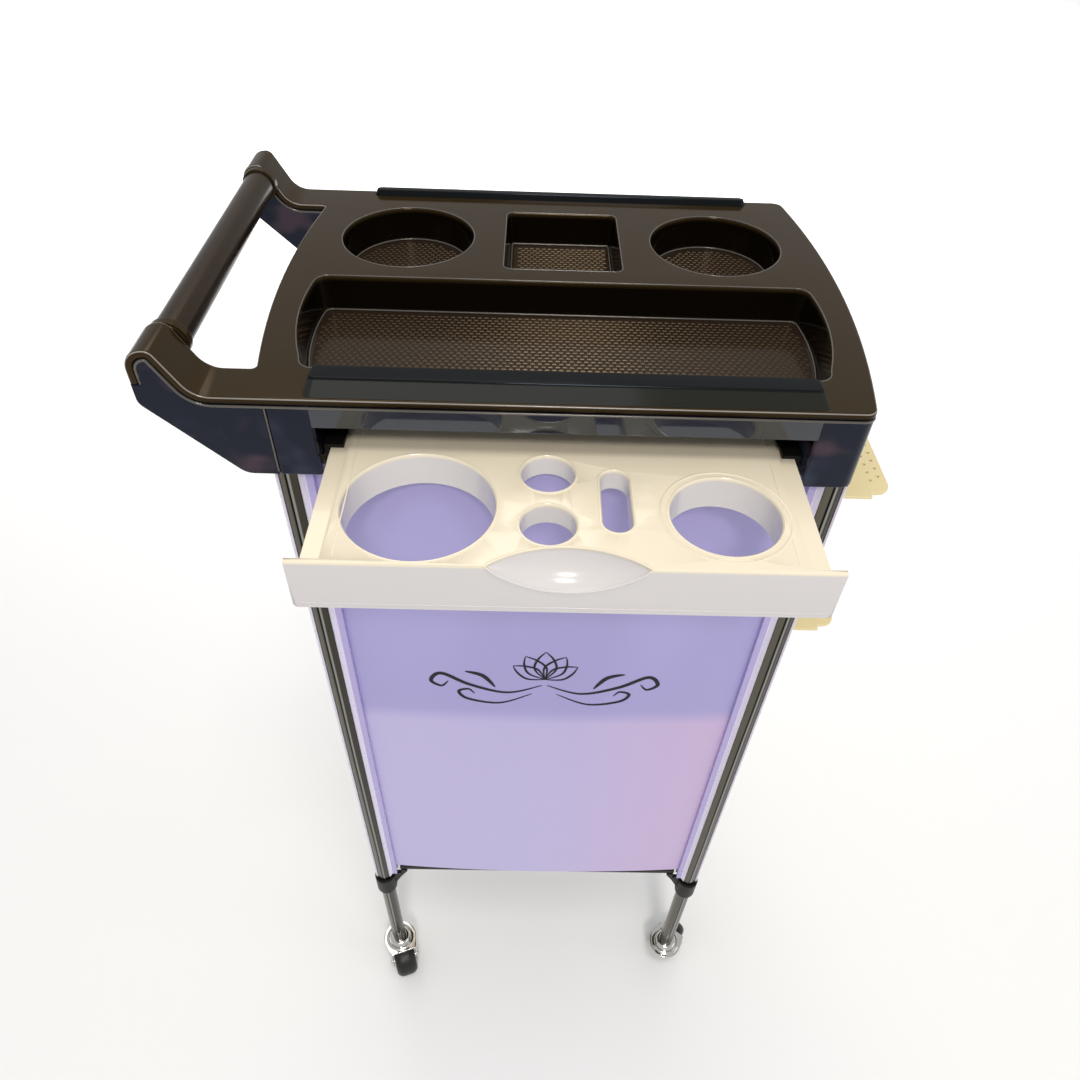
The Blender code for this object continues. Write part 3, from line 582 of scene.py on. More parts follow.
def arm_line():
    """The arm's top line from the deck out over the hub: each corner's (x and z, outward normal, run)."""
    hub_top = HANDLE_Z + HUB_RADIUS
    hub_out = HANDLE_X - HUB_RADIUS
    corners = [
        (-0.165, DECK_TOP),
        (-0.2119, DECK_TOP),
        (HANDLE_X + 0.0028, hub_top),
        (hub_out, hub_top),
        (hub_out, HANDLE_Z - 0.008),
    ]
    line = rounded(corners, [0, 0.016, 0.0066, HUB_RADIUS - 0.001, 0], 9, closed=False)[1:]
    line = line[:1] + [point for point, before in zip(line[1:], line) if math.dist(point, before) > 0.0003]
    result = []
    run = 0.0
    for index, point in enumerate(line):
        here = Vector(point)
        ahead = Vector(line[index + 1]) - here if index + 1 < len(line) else None
        back = here - Vector(line[index - 1]) if index else None
        if back:
            run += back.length
        way = ((ahead or back).normalized() + (back or ahead).normalized()).normalized()
        normal = Vector((way.y, -way.x)) if index else Vector((0, 1))
        result.append((here, normal, run))
    return result


ARM_LINE = arm_line()
ARM_ROOT = ARM_LINE[0][0].x


def bend(u, y, depth):
    """A point of the lid laid out flat, at a depth under its surface, put on the deck or round an arm."""
    run = ARM_ROOT - u
    if run <= 1e-9:
        return (u, y, DECK_TOP - depth)
    for (a, normal_a, start), (b, normal_b, end) in zip(ARM_LINE, ARM_LINE[1:]):
        if run <= end + 1e-9:
            break
    share = min((run - start) / (end - start), 1.0)
    point = a.lerp(b, share) - normal_a.lerp(normal_b, share).normalized() * depth
    return (point.x, y, point.y)


def lid_outline():
    """The lid laid out flat with its two arms straight, and the pairs of corners across each arm."""
    runs = [ARM_ROOT - run for _, _, run in ARM_LINE]
    inner = HALF_DEPTH - ARM_WIDTH
    front = [(u, -HALF_DEPTH) for u in reversed(runs)]
    levels = spread(-HALF_DEPTH, HALF_DEPTH, 24)
    right = rounded([front[-1]] + [(side_x(y), y) for y in levels] + [(ARM_ROOT, HALF_DEPTH)],
                    [0, 0.008] + [0] * 23 + [0.008, 0], 8, closed=False)[1:-1]
    rear = [(u, HALF_DEPTH) for u in runs]
    rear_inner = [(u, inner) for u in reversed(runs)]
    levels = spread(inner, -inner, 18)
    left = rounded([rear_inner[-1]] + [(-side_x(y), y) for y in levels] + [(ARM_ROOT, -inner)],
                   [0, 0.003] + [0] * 17 + [0.003, 0], 4, closed=False)[1:-1]
    front_inner = [(u, -inner) for u in runs]
    outline = front + right + rear + rear_inner + left + front_inner
    count = len(runs)
    total = len(outline)
    rear_start = count + len(right)
    across = [(index, total - 1 - index) for index in range(1, count)]
    across += [(rear_start + index, rear_start + 2 * count - 1 - index) for index in range(count - 1)]
    return outline, across


def long_well():
    front, back = -0.1107, 0.001
    front_x, middle_x, back_x = 0.1587, 0.171, 0.167
    centre = front + 0.55 * (back - front)
    right = []
    for share in spread(0, 1, 10):
        y = front + share * (back - front)
        bulge = middle_x - (front_x + back_x) / 2
        swell = max(0.0, 1 - ((y - centre) / (back - front) * 2) ** 2)
        right.append((front_x + (back_x - front_x) * share + bulge * swell, y))
    left = [(-x, y) for x, y in reversed(right)]
    radii = [0.009] + [0] * 9 + [0.009]
    return rounded(right + left, radii + radii, 8)


WELLS = {
    "round_well_left": circle((-0.114, 0.0647), 0.048, 64),
    "round_well_right": circle((0.114, 0.0647), 0.048, 64),
    "square_well": soft_rectangle((-0.0418, 0.0418), (0.0186, 0.1098), 0.005),
    "long_well": long_well(),
}


def lid():
    shape = Shape()
    outline, across = lid_outline()
    levels = quarter(0.0018, 4) + [(0, LID_THICKNESS - 0.0008), (0.0008, LID_THICKNESS)]
    top, bottom = shape.layers(outline, levels, bend)
    tops, bottoms = [top], [bottom]
    rim, floor_curve = 0.0014, 0.003
    for well in WELLS.values():
        inside = [(-t, d) for t, d in quarter(rim, 3)]
        wall_end = WELL_DEPTH - floor_curve
        inside += [(WELL_DRAFT * 0.5, WELL_DEPTH * 0.5), (WELL_DRAFT, wall_end)]
        for step in range(1, 5):
            angle = math.pi / 2 * step / 4
            inward = WELL_DRAFT + floor_curve * (1 - math.cos(angle))
            inside.append((inward, wall_end + floor_curve * math.sin(angle)))
        top, floor = shape.layers(well, inside, bend)
        tops.append(top)
        shape.fill([floor], lambda x, y: bend(x, y, WELL_DEPTH))
        outside = [(-WELL_WALL, LID_THICKNESS), (WELL_DRAFT - WELL_WALL, WELL_DEPTH)]
        outside += [(WELL_DRAFT, WELL_DEPTH + WELL_WALL)]
        under, foot = shape.layers(well, outside, bend)
        bottoms.append(under)
        shape.fill([foot], lambda x, y: bend(x, y, WELL_DEPTH + WELL_WALL))
    shape.fill(tops, lambda x, y: bend(x, y, 0), across)
    shape.fill(bottoms, lambda x, y: bend(x, y, LID_THICKNESS), across)
    return shape


def seam_bead(inward, below, radius):
    """A thin round bead beside the lid's edge, all round the deck and up the arms."""
    shape = Shape()
    outline, _ = lid_outline()
    loops = []
    for step in range(8):
        angle = 2 * math.pi * step / 8
        flat = inset(outline, inward + radius * math.cos(angle))
        depth = below + radius * math.sin(angle)
        loops.append(shape.loop([bend(u, y, depth) for u, y in flat]))
    shape.skin(loops, wrap=True)
    return shape


def round_ring(outline, level, radius):
    turns = [2 * math.pi * step / 8 for step in range(8)]
    return ring_of(outline, [(radius * math.cos(a), level + radius * math.sin(a)) for a in turns])


def ridge(half, front, back, slope):
    """A raised bar on the deck with a sloped front and round ends."""
    shape = Shape()
    foot = soft_rectangle((-half, half), (front, back), 0.0055, 6)
    crown = soft_rectangle((-half + 0.0022, half - 0.0022), (front + slope, back - 0.0022), 0.0035, 6)
    rise = 0.0045
    loops = [shape.loop([(x, y, DECK_TOP + h) for x, y in foot]) for h in (-0.001, 0.0002)]
    for t, depth in reversed(quarter(0.0012, 3)):
        flat = inset(crown, t - 0.0006)
        loops.append(shape.loop([(x, y, DECK_TOP + rise - depth) for x, y in flat]))
    shape.skin(loops)
    shape.fill([(loops[0], foot)], lambda x, y: (x, y, DECK_TOP - 0.001))
    shape.fill([(loops[-1], inset(crown, 0.0006))], lambda x, y: (x, y, DECK_TOP + rise))
    return shape


def inside_of(outline, x, y):
    crossings = 0
    for (ax, ay), (bx, by) in zip(outline, outline[1:] + outline[:1]):
        if (ay > y) != (by > y):
            crossings += ax + (y - ay) * (bx - ax) / (by - ay) > x
    return crossings % 2 == 1


def well_weave():
    """Small raised pads in staggered rows on the wells' floors."""
    shape = Shape()
    pitch_x, pitch_y = 0.0047, 0.0035
    half_x, half_y, rise = 0.0017, 0.00115, 0.0005
    floor = DECK_TOP - WELL_DEPTH - 0.0001
    for well in WELLS.values():
        field = inset(well, WELL_DRAFT + 0.0034)
        xs, ys = [x for x, _ in field], [y for _, y in field]
        rows = int((max(ys) - min(ys)) / pitch_y) + 2
        columns = int((max(xs) - min(xs)) / pitch_x) + 2
        for row in range(rows):
            for column in range(columns):
                x = min(xs) + (column + 0.5 * (row % 2)) * pitch_x
                y = min(ys) + row * pitch_y
                corners = rectangle((x - half_x, x + half_x), (y - half_y, y + half_y))
                if not all(inside_of(field, *corner) for corner in corners):
                    continue
                crown = rectangle((x - half_x * 0.7, x + half_x * 0.7), (y - half_y * 0.6, y + half_y * 0.6))
                low = shape.loop([(a, b, floor) for a, b in corners])
                high = shape.loop([(a, b, floor + rise) for a, b in crown])
                shape.bridge(low, high)
                shape.faces.append(tuple(low))
                shape.faces.append(tuple(high))
    return shape


def housing_walls():
    """The apron: a thin wall, open to the front between two blocks, with a crease where each arm starts."""
    crease, arm_side = -0.1733, HALF_DEPTH - ARM_WIDTH - 0.0002
    back = HALF_DEPTH - APRON_WALL
    right = [(side_x(y), y) for y in spread(-HALF_DEPTH, HALF_DEPTH, 24)]
    left = [(-side_x(y), y) for y in spread(arm_side, -arm_side, 18)]
    outside = [(MOUTH_HALF_WIDTH, -HALF_DEPTH)] + right + [(crease, HALF_DEPTH), (crease, arm_side)] + left
    outside += [(crease, -arm_side), (crease, -HALF_DEPTH), (-MOUTH_HALF_WIDTH, -HALF_DEPTH)]
    radii = [0.002, 0.008] + [0] * 23 + [0.008, 0.0019, 0] + [0] * 19 + [0, 0.0019, 0.002]
    near = arm_side - APRON_WALL
    inside = [(-MOUTH_HALF_WIDTH, -back), (crease + APRON_WALL, -back), (crease + APRON_WALL, -near)]
    inside += [(APRON_WALL - side_x(y), y) for y in spread(-near, near, 18)]
    inside += [(crease + APRON_WALL, near), (crease + APRON_WALL, back)]
    inside += [(side_x(y) - APRON_WALL, y) for y in spread(back, -back, 24)]
    inside += [(MOUTH_HALF_WIDTH, -back)]
    outline = rounded(outside + inside, radii + [0] * len(inside), 5)
    walls = slab(outline, APRON_BOTTOM, DECK_TOP - LID_THICKNESS - 0.0003, 0.0012, steps=3)
    blocks = []
    for side in (-1, 1):
        ends = sorted((side * (MOUTH_HALF_WIDTH + 0.0002), side * 0.1722))
        foot = rectangle(ends, (-HALF_DEPTH + 0.0015, back))
        blocks.append(slab(foot, APRON_BOTTOM + 0.0001, 0.8635, 0.0005))
    return together(walls, *blocks)


def arm_body():
    """The arm's lower half in x and z, under the lid's skin."""
    under = LID_THICKNESS + 0.0003
    seam = [tuple(point - normal * under) for point, normal, _ in ARM_LINE]
    hub_out = HANDLE_X - HUB_RADIUS
    crease = -0.1739
    start = (hub_out, seam[-1][1] - 0.0005)
    corners = [start, (hub_out, 0.8853), (-0.1937, APRON_BOTTOM), (crease, APRON_BOTTOM)]
    belly = rounded(corners, [0, 0.008, 0.012, 0], 8, closed=False)
    top = DECK_TOP - under
    return [(crease, top)] + seam + [(seam[-1][0], belly[0][1])] + belly


def top_pieces():
    make("deck_lid", lid(), lid_black, "frame", "black_gloss", ["top_tray"], 30)
    front_ridge = ridge(0.152, -0.1418, -0.1130, 0.0141)
    rear_ridge = ridge(0.149, 0.1333, 0.1428, 0.0022)
    make("deck_ridges", together(front_ridge, rear_ridge), ridge_black, "frame", "black_gloss")
    make("well_floor_weave", well_weave(), weave_black, "frame", "black_gloss", sharp=20)
    mouth = (-MOUTH_HALF_WIDTH - 0.002, MOUTH_HALF_WIDTH + 0.002)
    header = rectangle(mouth, (-HALF_DEPTH + 0.0001, -HALF_DEPTH + APRON_WALL))
    header = slab(header, MOUTH_TOP, DECK_TOP - LID_THICKNESS - 0.0003, 0.0010)
    arms = []
    for low, high in ((-HALF_DEPTH, -HALF_DEPTH + ARM_WIDTH), (HALF_DEPTH - ARM_WIDTH, HALF_DEPTH)):
        arms.append(slab(arm_body(), low, high, 0.0011, along_y, steps=3))
    housing = together(housing_walls(), *arms)
    make("housing_shell", housing, body_black, "frame", "black_gloss", ["top_housing"], 32)
    make("mouth_header", header, header_black, "frame", "black_gloss")
    # Painted highlight: a thin light grey bead along the lid's edge
    make("edge_highlight_bead", seam_bead(0.0008, 0.0008, 0.00055), edge_glint, "frame", "black_gloss", sharp=60)
    # Painted highlights: thin dark grey beads under the lid's edge, round the wells' rims and floors, and
    # down the creases
    fine = seam_bead(0.0003, LID_THICKNESS + 0.0014, 0.0008)
    for well in WELLS.values():
        fine.add(round_ring(inset(well, -0.0007), DECK_TOP - 0.0001, 0.0005))
        fine.add(round_ring(inset(well, WELL_DRAFT + 0.0012), DECK_TOP - WELL_DEPTH + 0.0012, 0.0006))
    for side in (-1, 1):
        fine.add(slab(circle((-0.1736, side * (HALF_DEPTH - 0.0003)), 0.0006, 12), 0.8375, 0.8845, 0.0003))
    make("fine_highlight_beads", fine, rim_glint, "frame", "black_gloss", sharp=60)


def handle_pieces():
    centre = (HANDLE_X, 0, HANDLE_Z)
    end = HALF_DEPTH - ARM_WIDTH - 0.0003
    half = [(0.0035, end + 0.0100), (0.0035, end), (BAR_RADIUS - 0.0008, end), (BAR_RADIUS, end - 0.0008)]
    profile = [(0, -end - 0.0100)] + [(r, -h) for r, h in half]
    profile += [(r, h) for r, h in reversed(half)] + [(0, end + 0.0100)]
    bar = turned(profile, centre, 64, "Y", open_profile=True)
    make("handle_grip", bar, bar_black, "frame", "black_gloss", ["handle_bar"])
    for name, sign in (("front", -1), ("rear", 1)):
        inside, outside = BAR_RADIUS + 0.0001, 0.0126
        section = [(inside, end - 0.006), (outside - 0.0009, end - 0.006), (outside - 0.0002, end - 0.0057)]
        section += [(outside, end - 0.0050), (outside, end), (inside, end)]
        ring = turned([(r, sign * h) for r, h in section], centre, 64, "Y")
        node = f"handle_ring_{name}"
        make(f"handle_collar_{name}", ring, lid_black, "frame", "black_plastic", [node])


# -------------------------------------------------------------- accessory tray

TRAY_BEND = 0.0014
LENS_LEFT, LENS_RIGHT = -0.0440, 0.0456
LENS_BACK, LENS_DOWN = 0.0158, 0.0187


def tray_sheet_point(x, w):
    """A point of the tray's sheet laid out flat: w runs up the lip, over its edge and along the deck."""
    half = TRAY_BEND * math.pi / 4
    if w < -half:
        y, z = 0.0, TRAY_DECK - TRAY_BEND + w + half
    elif w > half:
        y, z = TRAY_BEND + w - half, TRAY_DECK
    else:
        angle = (w + half) / TRAY_BEND
        y, z = TRAY_BEND * (1 - math.cos(angle)), TRAY_DECK - TRAY_BEND * (1 - math.sin(angle))
    return (x, TRAY_FRONT + y, z)


def on_deck(y):
    return y - TRAY_BEND + TRAY_BEND * math.pi / 4


def on_face(z):
    return z - TRAY_DECK + TRAY_BEND - TRAY_BEND * math.pi / 4


def slot_outline():
    return soft_rectangle((0.0292 - 0.0084, 0.0292 + 0.0084), (0.0285, 0.0804), 0.0083, 10)


TRAY_HOLES = {
    "large": circle((-0.0835, 0.0470), 0.0438, 72),
    "ring": circle((0.0910, 0.0438), 0.0318, 64),
    "front_small": circle((-0.0099, 0.0333), 0.0158, 40),
    "back_small": circle((-0.0099, 0.0765), 0.0158, 40),
    "slot": slot_outline(),
}


def lens_edges():
    """The grip's pointed lens: its edge on the deck and its edge on the lip, laid out flat."""
    upper, lower = [], []
    for s in spread(-1, 1, 40):
        x = LENS_LEFT + (LENS_RIGHT - LENS_LEFT) * (s + 1) / 2
        swell = max(1 - s * s, 0.0) ** 0.85
        upper.append((x, LENS_BACK * swell))
        lower.append((x, -LENS_DOWN * swell))
    return upper, lower


def tray_sheet():
    shape = Shape()
    half = TRAY_BEND * math.pi / 4
    foot, shoulder, back = on_face(LIP_BOTTOM), on_deck(0.0031), on_deck(TRAY_DEPTH)
    half_turns = spread(-half, half, 4)
    outline = rounded(rectangle((-LIP_HALF_WIDTH, LIP_HALF_WIDTH), (foot, 0)), [0.003, 0.003, 0, 0], 5)[:-2]
    outline += [(LIP_HALF_WIDTH, w) for w in half_turns]
    outline += [(LIP_HALF_WIDTH, shoulder), (TRAY_HALF_WIDTH, shoulder)]
    outline += [(TRAY_HALF_WIDTH, back), (-TRAY_HALF_WIDTH, back), (-TRAY_HALF_WIDTH, shoulder)]
    outline += [(-LIP_HALF_WIDTH, shoulder)] + [(-LIP_HALF_WIDTH, w) for w in reversed(half_turns)]
    crossing = []
    for level in half_turns:
        ends = [index for index, (x, w) in enumerate(outline) if w == level and abs(x) == LIP_HALF_WIDTH]
        crossing.append((ends[0], ends[1]))
    rings = [(shape.loop([tray_sheet_point(x, w) for x, w in outline]), outline)]
    for hole in TRAY_HOLES.values():
        flat = [(x, on_deck(y)) for x, y in inset(hole, -0.0010)]
        rings.append((shape.loop([tray_sheet_point(x, w) for x, w in flat]), flat))
    upper, lower = lens_edges()
    flat = upper + lower[-2:0:-1]
    lens = shape.loop([tray_sheet_point(x, w) for x, w in flat])
    rings.append((lens, flat))
    shape.fill(rings, tray_sheet_point, crossing)
    add_scoop(shape, lens, upper, lower)
    return shape


def add_scoop(shape, lens, upper, lower):
    """The hollow under the grip: in each column, a quarter ellipse from the deck down to the lip."""
    last = len(upper) - 1
    steps = 10
    below = [lens[0]] + [lens[2 * last - index] for index in range(1, last)] + [lens[last]]
    rows = [lens[: last + 1]]
    for step in range(1, steps):
        angle = math.pi / 2 * step / steps
        row = [lens[0]]
        for index in range(1, last):
            x = upper[index][0]
            corner = Vector((x, TRAY_FRONT, TRAY_DECK))
            up = Vector(tray_sheet_point(x, upper[index][1])) - corner
            down = Vector(tray_sheet_point(x, lower[index][1])) - corner
            row += shape.loop([tuple(corner + up * math.cos(angle) + down * math.sin(angle))])
        rows.append(row + [lens[last]])
    rows.append(below)
    for higher, lower_row in zip(rows, rows[1:]):
        for index in range(last):
            face = (higher[index], lower_row[index], lower_row[index + 1], higher[index + 1])
            shape.faces.append(tuple(dict.fromkeys(face)))


def local(outline):
    return [(x, y + TRAY_FRONT) for x, y in outline]


def tray_furniture():
    """What stands on and hangs under the tray's sheet: sleeves, rims, beads, flanges and the lip's foot."""
    parts = []
    for name, hole in TRAY_HOLES.items():
        bottom = SLEEVE_BOTTOM if name in ("large", "ring") else SMALL_SLEEVE_BOTTOM
        section = [(0, bottom + 0.0005), (0, TRAY_DECK - 0.0012), (0.0003, TRAY_DECK - 0.0001)]
        section += [(0.0010, TRAY_DECK + 0.0005), (0.0018, TRAY_DECK + 0.0004), (0.0023, TRAY_DECK - 0.0004)]
        section += [(SLEEVE_WALL, TRAY_DECK - 0.002), (SLEEVE_WALL, bottom), (0.0004, bottom)]
        parts.append(ring_of(local(hole), section))
    bead = [(0.0000, -0.0006), (0.0003, 0.0003), (0.0010, 0.0006), (0.0017, 0.0003), (0.0020, -0.0006)]
    wide = circle((0.0910, 0.0438), 0.0362, 64)
    parts.append(ring_of(local(wide), [(t, TRAY_DECK + h) for t, h in bead]))
    upper, lower = lens_edges()
    parts.append(tube([tray_sheet_point(x, w) for x, w in upper + lower[-2:0:-1]], 0.0009, (0, -0.7, 0.7)))
    end = TRAY_FRONT + TRAY_DEPTH
    for side in (-1, 1):
        lines = rectangle(sorted((side * 0.1248, side * 0.1256)), (TRAY_FRONT + 0.006, end - 0.004))
        lines = rounded(lines, [0.0003] * 4, 2)
        parts.append(slab(lines, TRAY_DECK - 0.0005, TRAY_DECK + 0.0003, 0.0002))
        flange = rectangle(sorted((side * 0.1295, side * 0.1428)), (TRAY_FRONT + 0.0015, end))
        parts.append(slab(flange, TRAY_DECK - 0.0057, TRAY_DECK - 0.0030, 0.0005))
        wall = rectangle(sorted((side * 0.1295, side * 0.1314)), (TRAY_FRONT + 0.002, end))
        parts.append(slab(wall, TRAY_DECK - 0.0057, TRAY_DECK - 0.0010, 0.0003))
    rear = rectangle((-0.1314, 0.1314), (end - 0.0025, end - 0.0001))
    parts.append(slab(rear, 0.838, TRAY_DECK - 0.0010, 0.0005))
    foot_ends = (-LIP_HALF_WIDTH + 0.004, LIP_HALF_WIDTH - 0.004)
    foot = rectangle(foot_ends, (TRAY_FRONT - 0.0004, TRAY_FRONT + 0.002))
    parts.append(slab(foot, LIP_BOTTOM + 0.0034, LIP_BOTTOM + 0.0042, 0.0003))
    return together(*parts)


def tray_pieces():
    settings = {"thickness": 0.0024, "offset": -1.0, "use_even_offset": True, "use_quality_normals": True}
    thick = ("SOLIDIFY", settings)
    nodes = ["accessory_tray"]
    make("tray_sheet", tray_sheet(), ivory, "tray", "ivory_gloss", nodes, 50, [thick], orient=False)
    make("tray_rims", tray_furniture(), ivory, "tray", "ivory_gloss", sharp=40)
    section = [(0.1345, 0.8425), (0.1467, 0.8425), (0.1467, 0.8508), (0.1345, 0.8508)]
    section += [(0.1345, 0.8483), (0.1437, 0.8483), (0.1437, 0.8450), (0.1345, 0.8450)]
    for name, side in (("tray_runner_right", 1), ("tray_runner_left", -1)):
        outline = [(side * x, z) for x, z in section]
        runner = slab(outline, -0.133, 0.1407, 0.0003, along_y)
        make(f"{name}_channel", runner, satin_black, "frame", "black_plastic", [name])


# --------------------------------------------------------------------- cabinet


def bow(x):
    return PANEL_EDGE_Y + PANEL_BOW * (1 - (x / PANEL_HALF_WIDTH) ** 2)


def panel(sign, notched):
    """A bowed panel laid out in x and z. Lines across it keep each strip of the bow flat."""
    notches = NOTCHES if notched else ()
    places = set(spread(-PANEL_HALF_WIDTH, PANEL_HALF_WIDTH, 40))
    places = sorted(places | {x for ends in notches for x in ends})
    bottom = [(x, PANEL_BOTTOM) for x in places]
    top = []
    for x in reversed(places):
        for beside in (x + 1e-6, x - 1e-6):
            cut = any(low < beside < high for low, high in notches)
            point = (x, NOTCH_BOTTOM if cut else PANEL_TOP)
            if point not in top[-1:]:
                top.append(point)
    outline = bottom + top
    lines = []
    for index, (x, _) in enumerate(bottom[1:-1], start=1):
        match = [other for other in range(len(bottom), len(outline)) if outline[other][0] == x]
        lines.append((index, min(match, key=lambda other: outline[other][1])))

    def place(x, z, h):
        return (x, sign * (bow(x) - PANEL_THICKNESS + h), z)

    return slab(outline, 0, PANEL_THICKNESS, 0.0005, place, lines=lines)


def panel_pieces():
    for name, sign, notched in (("front_panel", -1, True), ("rear_panel", 1, False)):
        make(f"{name}_sheet", panel(sign, notched), lavender, "frame", "lavender_panel", [name], 40)
    artwork = Shape()
    for points, width in flourish():
        artwork.add(ribbon(points, width))
    make("panel_flourish", artwork, ink, "frame", "black_plastic", sharp=30)


def curve_through(points, steps=14):
    """A smooth line through the points."""
    line = []
    padded = [points[0]] + list(points) + [points[-1]]
    for a, b, c, d in zip(padded, padded[1:], padded[2:], padded[3:]):
        for step in range(steps):
            t = step / steps
            spot = []
            for p, q, r, s in zip(a, b, c, d):
                square = 2 * p - 5 * q + 4 * r - s
                cube = 3 * q - p - 3 * r + s
                spot.append(0.5 * (2 * q + (r - p) * t + square * t * t + cube * t ** 3))
            line.append(tuple(spot))
    return line + [points[-1]]


def ribbon(points, width):
    """A stroke that stands a little proud of the front panel, thin at both ends."""
    line = curve_through(points)
    count = len(line)
    left, right = [], []
    for index, (x, z) in enumerate(line):
        before, after = line[max(index - 1, 0)], line[min(index + 1, count - 1)]
        way = Vector((after[0] - before[0], after[1] - before[1])).normalized()
        share = index / (count - 1)
        half = width * (0.12 + 0.88 * math.sin(math.pi * share) ** 0.8) / 2
        left.append((x - way.y * half, z + way.x * half))
        right.append((x + way.y * half, z - way.x * half))
    outline = left + right[::-1]
    shape = Shape()
    lift = 0.00025
    front = shape.loop([(x, -bow(x) - lift, z) for x, z in outline])
    back = shape.loop([(x, -bow(x) + 0.0002, z) for x, z in outline])
    shape.bridge(front, back)
    for index in range(count - 1):
        far = 2 * count - 1 - index
        shape.faces.append((front[index], front[index + 1], front[far - 1], front[far]))
        shape.faces.append((back[index], back[far], back[far - 1], back[index + 1]))
    return shape


def flourish():
    """A lotus over two sweeping scrolls, as (points in x and z, width) strokes."""
    base_x, base_z = -0.004, 0.618
    strokes = []
    for lean, height, swell in ((0, 0.036, 0.0085), (28, 0.034, 0.0080), (56, 0.031, 0.0075)):
        for side in (-1, 1):
            for mirror in ((1,) if lean == 0 else (-1, 1)):
                turn = math.radians(lean) * mirror
                petal = [(0, 0), (side * swell, height * 0.38)]
                petal += [(side * swell * 0.72, height * 0.74), (0, height)]
                points = []
                for x, z in petal:
                    across = base_x + x * math.cos(turn) + z * math.sin(turn)
                    points.append((across, base_z + z * math.cos(turn) - x * math.sin(turn)))
                strokes.append((points, 0.0019))
    long_scroll = [(0.002, -0.008), (0.030, -0.019), (0.060, -0.010), (0.083, 0.004)]
    long_scroll += [(0.092, -0.006), (0.084, -0.013), (0.078, -0.006)]
    short_scroll = [(0.010, -0.020), (0.036, -0.034), (0.062, -0.030)]
    short_scroll += [(0.070, -0.020), (0.062, -0.016), (0.057, -0.022)]
    leaf = [(0.040, -0.012), (0.050, 0.003), (0.064, 0.008)]
    for side in (-1, 1):
        for curve, width in ((long_scroll, 0.0036), (short_scroll, 0.0028), (leaf, 0.0040)):
            strokes.append(([(base_x + side * x, base_z + z) for x, z in curve], width))
    return strokes


def profile_outline():
    """The corner profile about its post: a C open to the front, and a channel for the panel's edge."""
    inner, outer = 0.0083, 0.0097
    first, last = math.radians(-43), math.radians(223)
    start_x, end_x, tip = 0.0088, 0.0110, 0.0146
    face, slot_low, slot_high, back = -0.0030, 0.0, 0.0036, 0.0056
    points = [(radius * math.cos(first), radius * math.sin(first)) for radius in (inner, outer)]
    points += [(start_x + 0.0005, face), (tip, face), (tip, slot_low), (end_x, slot_low)]
    points += [(end_x, slot_high), (tip, slot_high), (tip, back)]
    start = math.asin(back / outer)
    points += [(outer * math.cos(a), outer * math.sin(a)) for a in spread(start, last, 30)]
    points += [(inner * math.cos(a), inner * math.sin(a)) for a in spread(last, first, 36)[:-1]]
    return points


def connector(sign_x, sign_y):
    start, bottom, top = 0.0100, 0.207, 0.2365
    radius = 0.0112
    collar = [(0.0082, bottom), (radius - 0.0014, bottom)]
    collar += [(radius - 0.0004, bottom + 0.0006), (radius, bottom + 0.002)]
    collar += [(radius, top - 0.0012), (radius - 0.0004, top - 0.0003), (radius - 0.0012, top), (0.0082, top)]
    web = [(start, bottom + 0.008), (0.0150, bottom + 0.019), (0.0195, bottom + 0.029), (0.0260, 0.2472)]
    web += [(0.0260, 0.2502), (0.0190, 0.2502), (0.0190, 0.2427), (0.0130, 0.2427), (start, top - 0.001)]
    radii = [0, 0.01, 0.01, 0.001, 0.0006, 0, 0, 0.0006, 0]
    parts = [turned(collar)]
    for sign, place in ((sign_x, along_y), (sign_y, along_x)):
        outline = rounded([(-sign * x, z) for x, z in web], radii, 4)
        parts.append(slab(outline, -0.002, 0.002, 0.0005, place))
    return together(*parts)


def cabinet_pieces():
    for name, (sign_x, sign_y) in CORNERS.items():
        foot = Matrix.Translation((sign_x * POST_X, sign_y * POST_Y, 0))
        wall = POST_RADIUS - 0.0011
        section = [(wall, 0.0518), (POST_RADIUS - 0.0003, 0.0518), (POST_RADIUS, 0.0522)]
        section += [(POST_RADIUS, 0.875), (wall, 0.875)]
        post = moved(turned(section), foot)
        spot = foot.translation
        make(f"tube_{name}", post, steel, "frame", "steel_tube", [f"post_{name}"], origin=spot)
        outline = [(-sign_x * x, -sign_y * y) for x, y in profile_outline()]
        strip = slab(outline, 0.243, APRON_BOTTOM - 0.0003, 0.0002)
        strip = moved(strip, foot)
        nodes = [f"corner_profile_{name}"]
        make(f"profile_{name}", strip, profile_lilac, "frame", "lavender_panel", nodes, 40, origin=spot)
        joint = moved(connector(sign_x, sign_y), foot)
        nodes = [f"corner_connector_{name}"]
        make(f"connector_{name}", joint, satin_black, "frame", "black_plastic", nodes)
    quarter_corner = [(0.166, 0.1200), (0.1525, 0.1200), (0.1525, 0.1335)]
    right = [(x, -y) for x, y in reversed(quarter_corner)] + quarter_corner
    outline = right + [(-x, y) for x, y in reversed(right)]
    base = slab(outline, 0.2505, 0.2575, 0.0008)
    make("base_tray", base, satin_black, "frame", "black_plastic", ["base_plate"])
    section = [(0.1266, -0.0050), (0.1266, 0.0060), (0.1165, 0.0060), (0.1165, 0.0040)]
    section += [(0.1226, 0.0040), (0.1226, -0.0012), (0.1125, -0.0012), (0.1125, -0.0050)]
    for index, level in enumerate(DRAWER_LEVELS, start=1):
        for place, side in (("front", -1), ("rear", 1)):
            outline = [(side * y, level + z) for y, z in section]
            rail = slab(outline, -0.1600, 0.1600, 0.0003, along_x)
            name = f"drawer_rail_{index}_{place}"
            make(f"{name}_channel", rail, profile_lilac, "frame", "lavender_panel", [name])


# --------------------------------------------------------------------- drawers


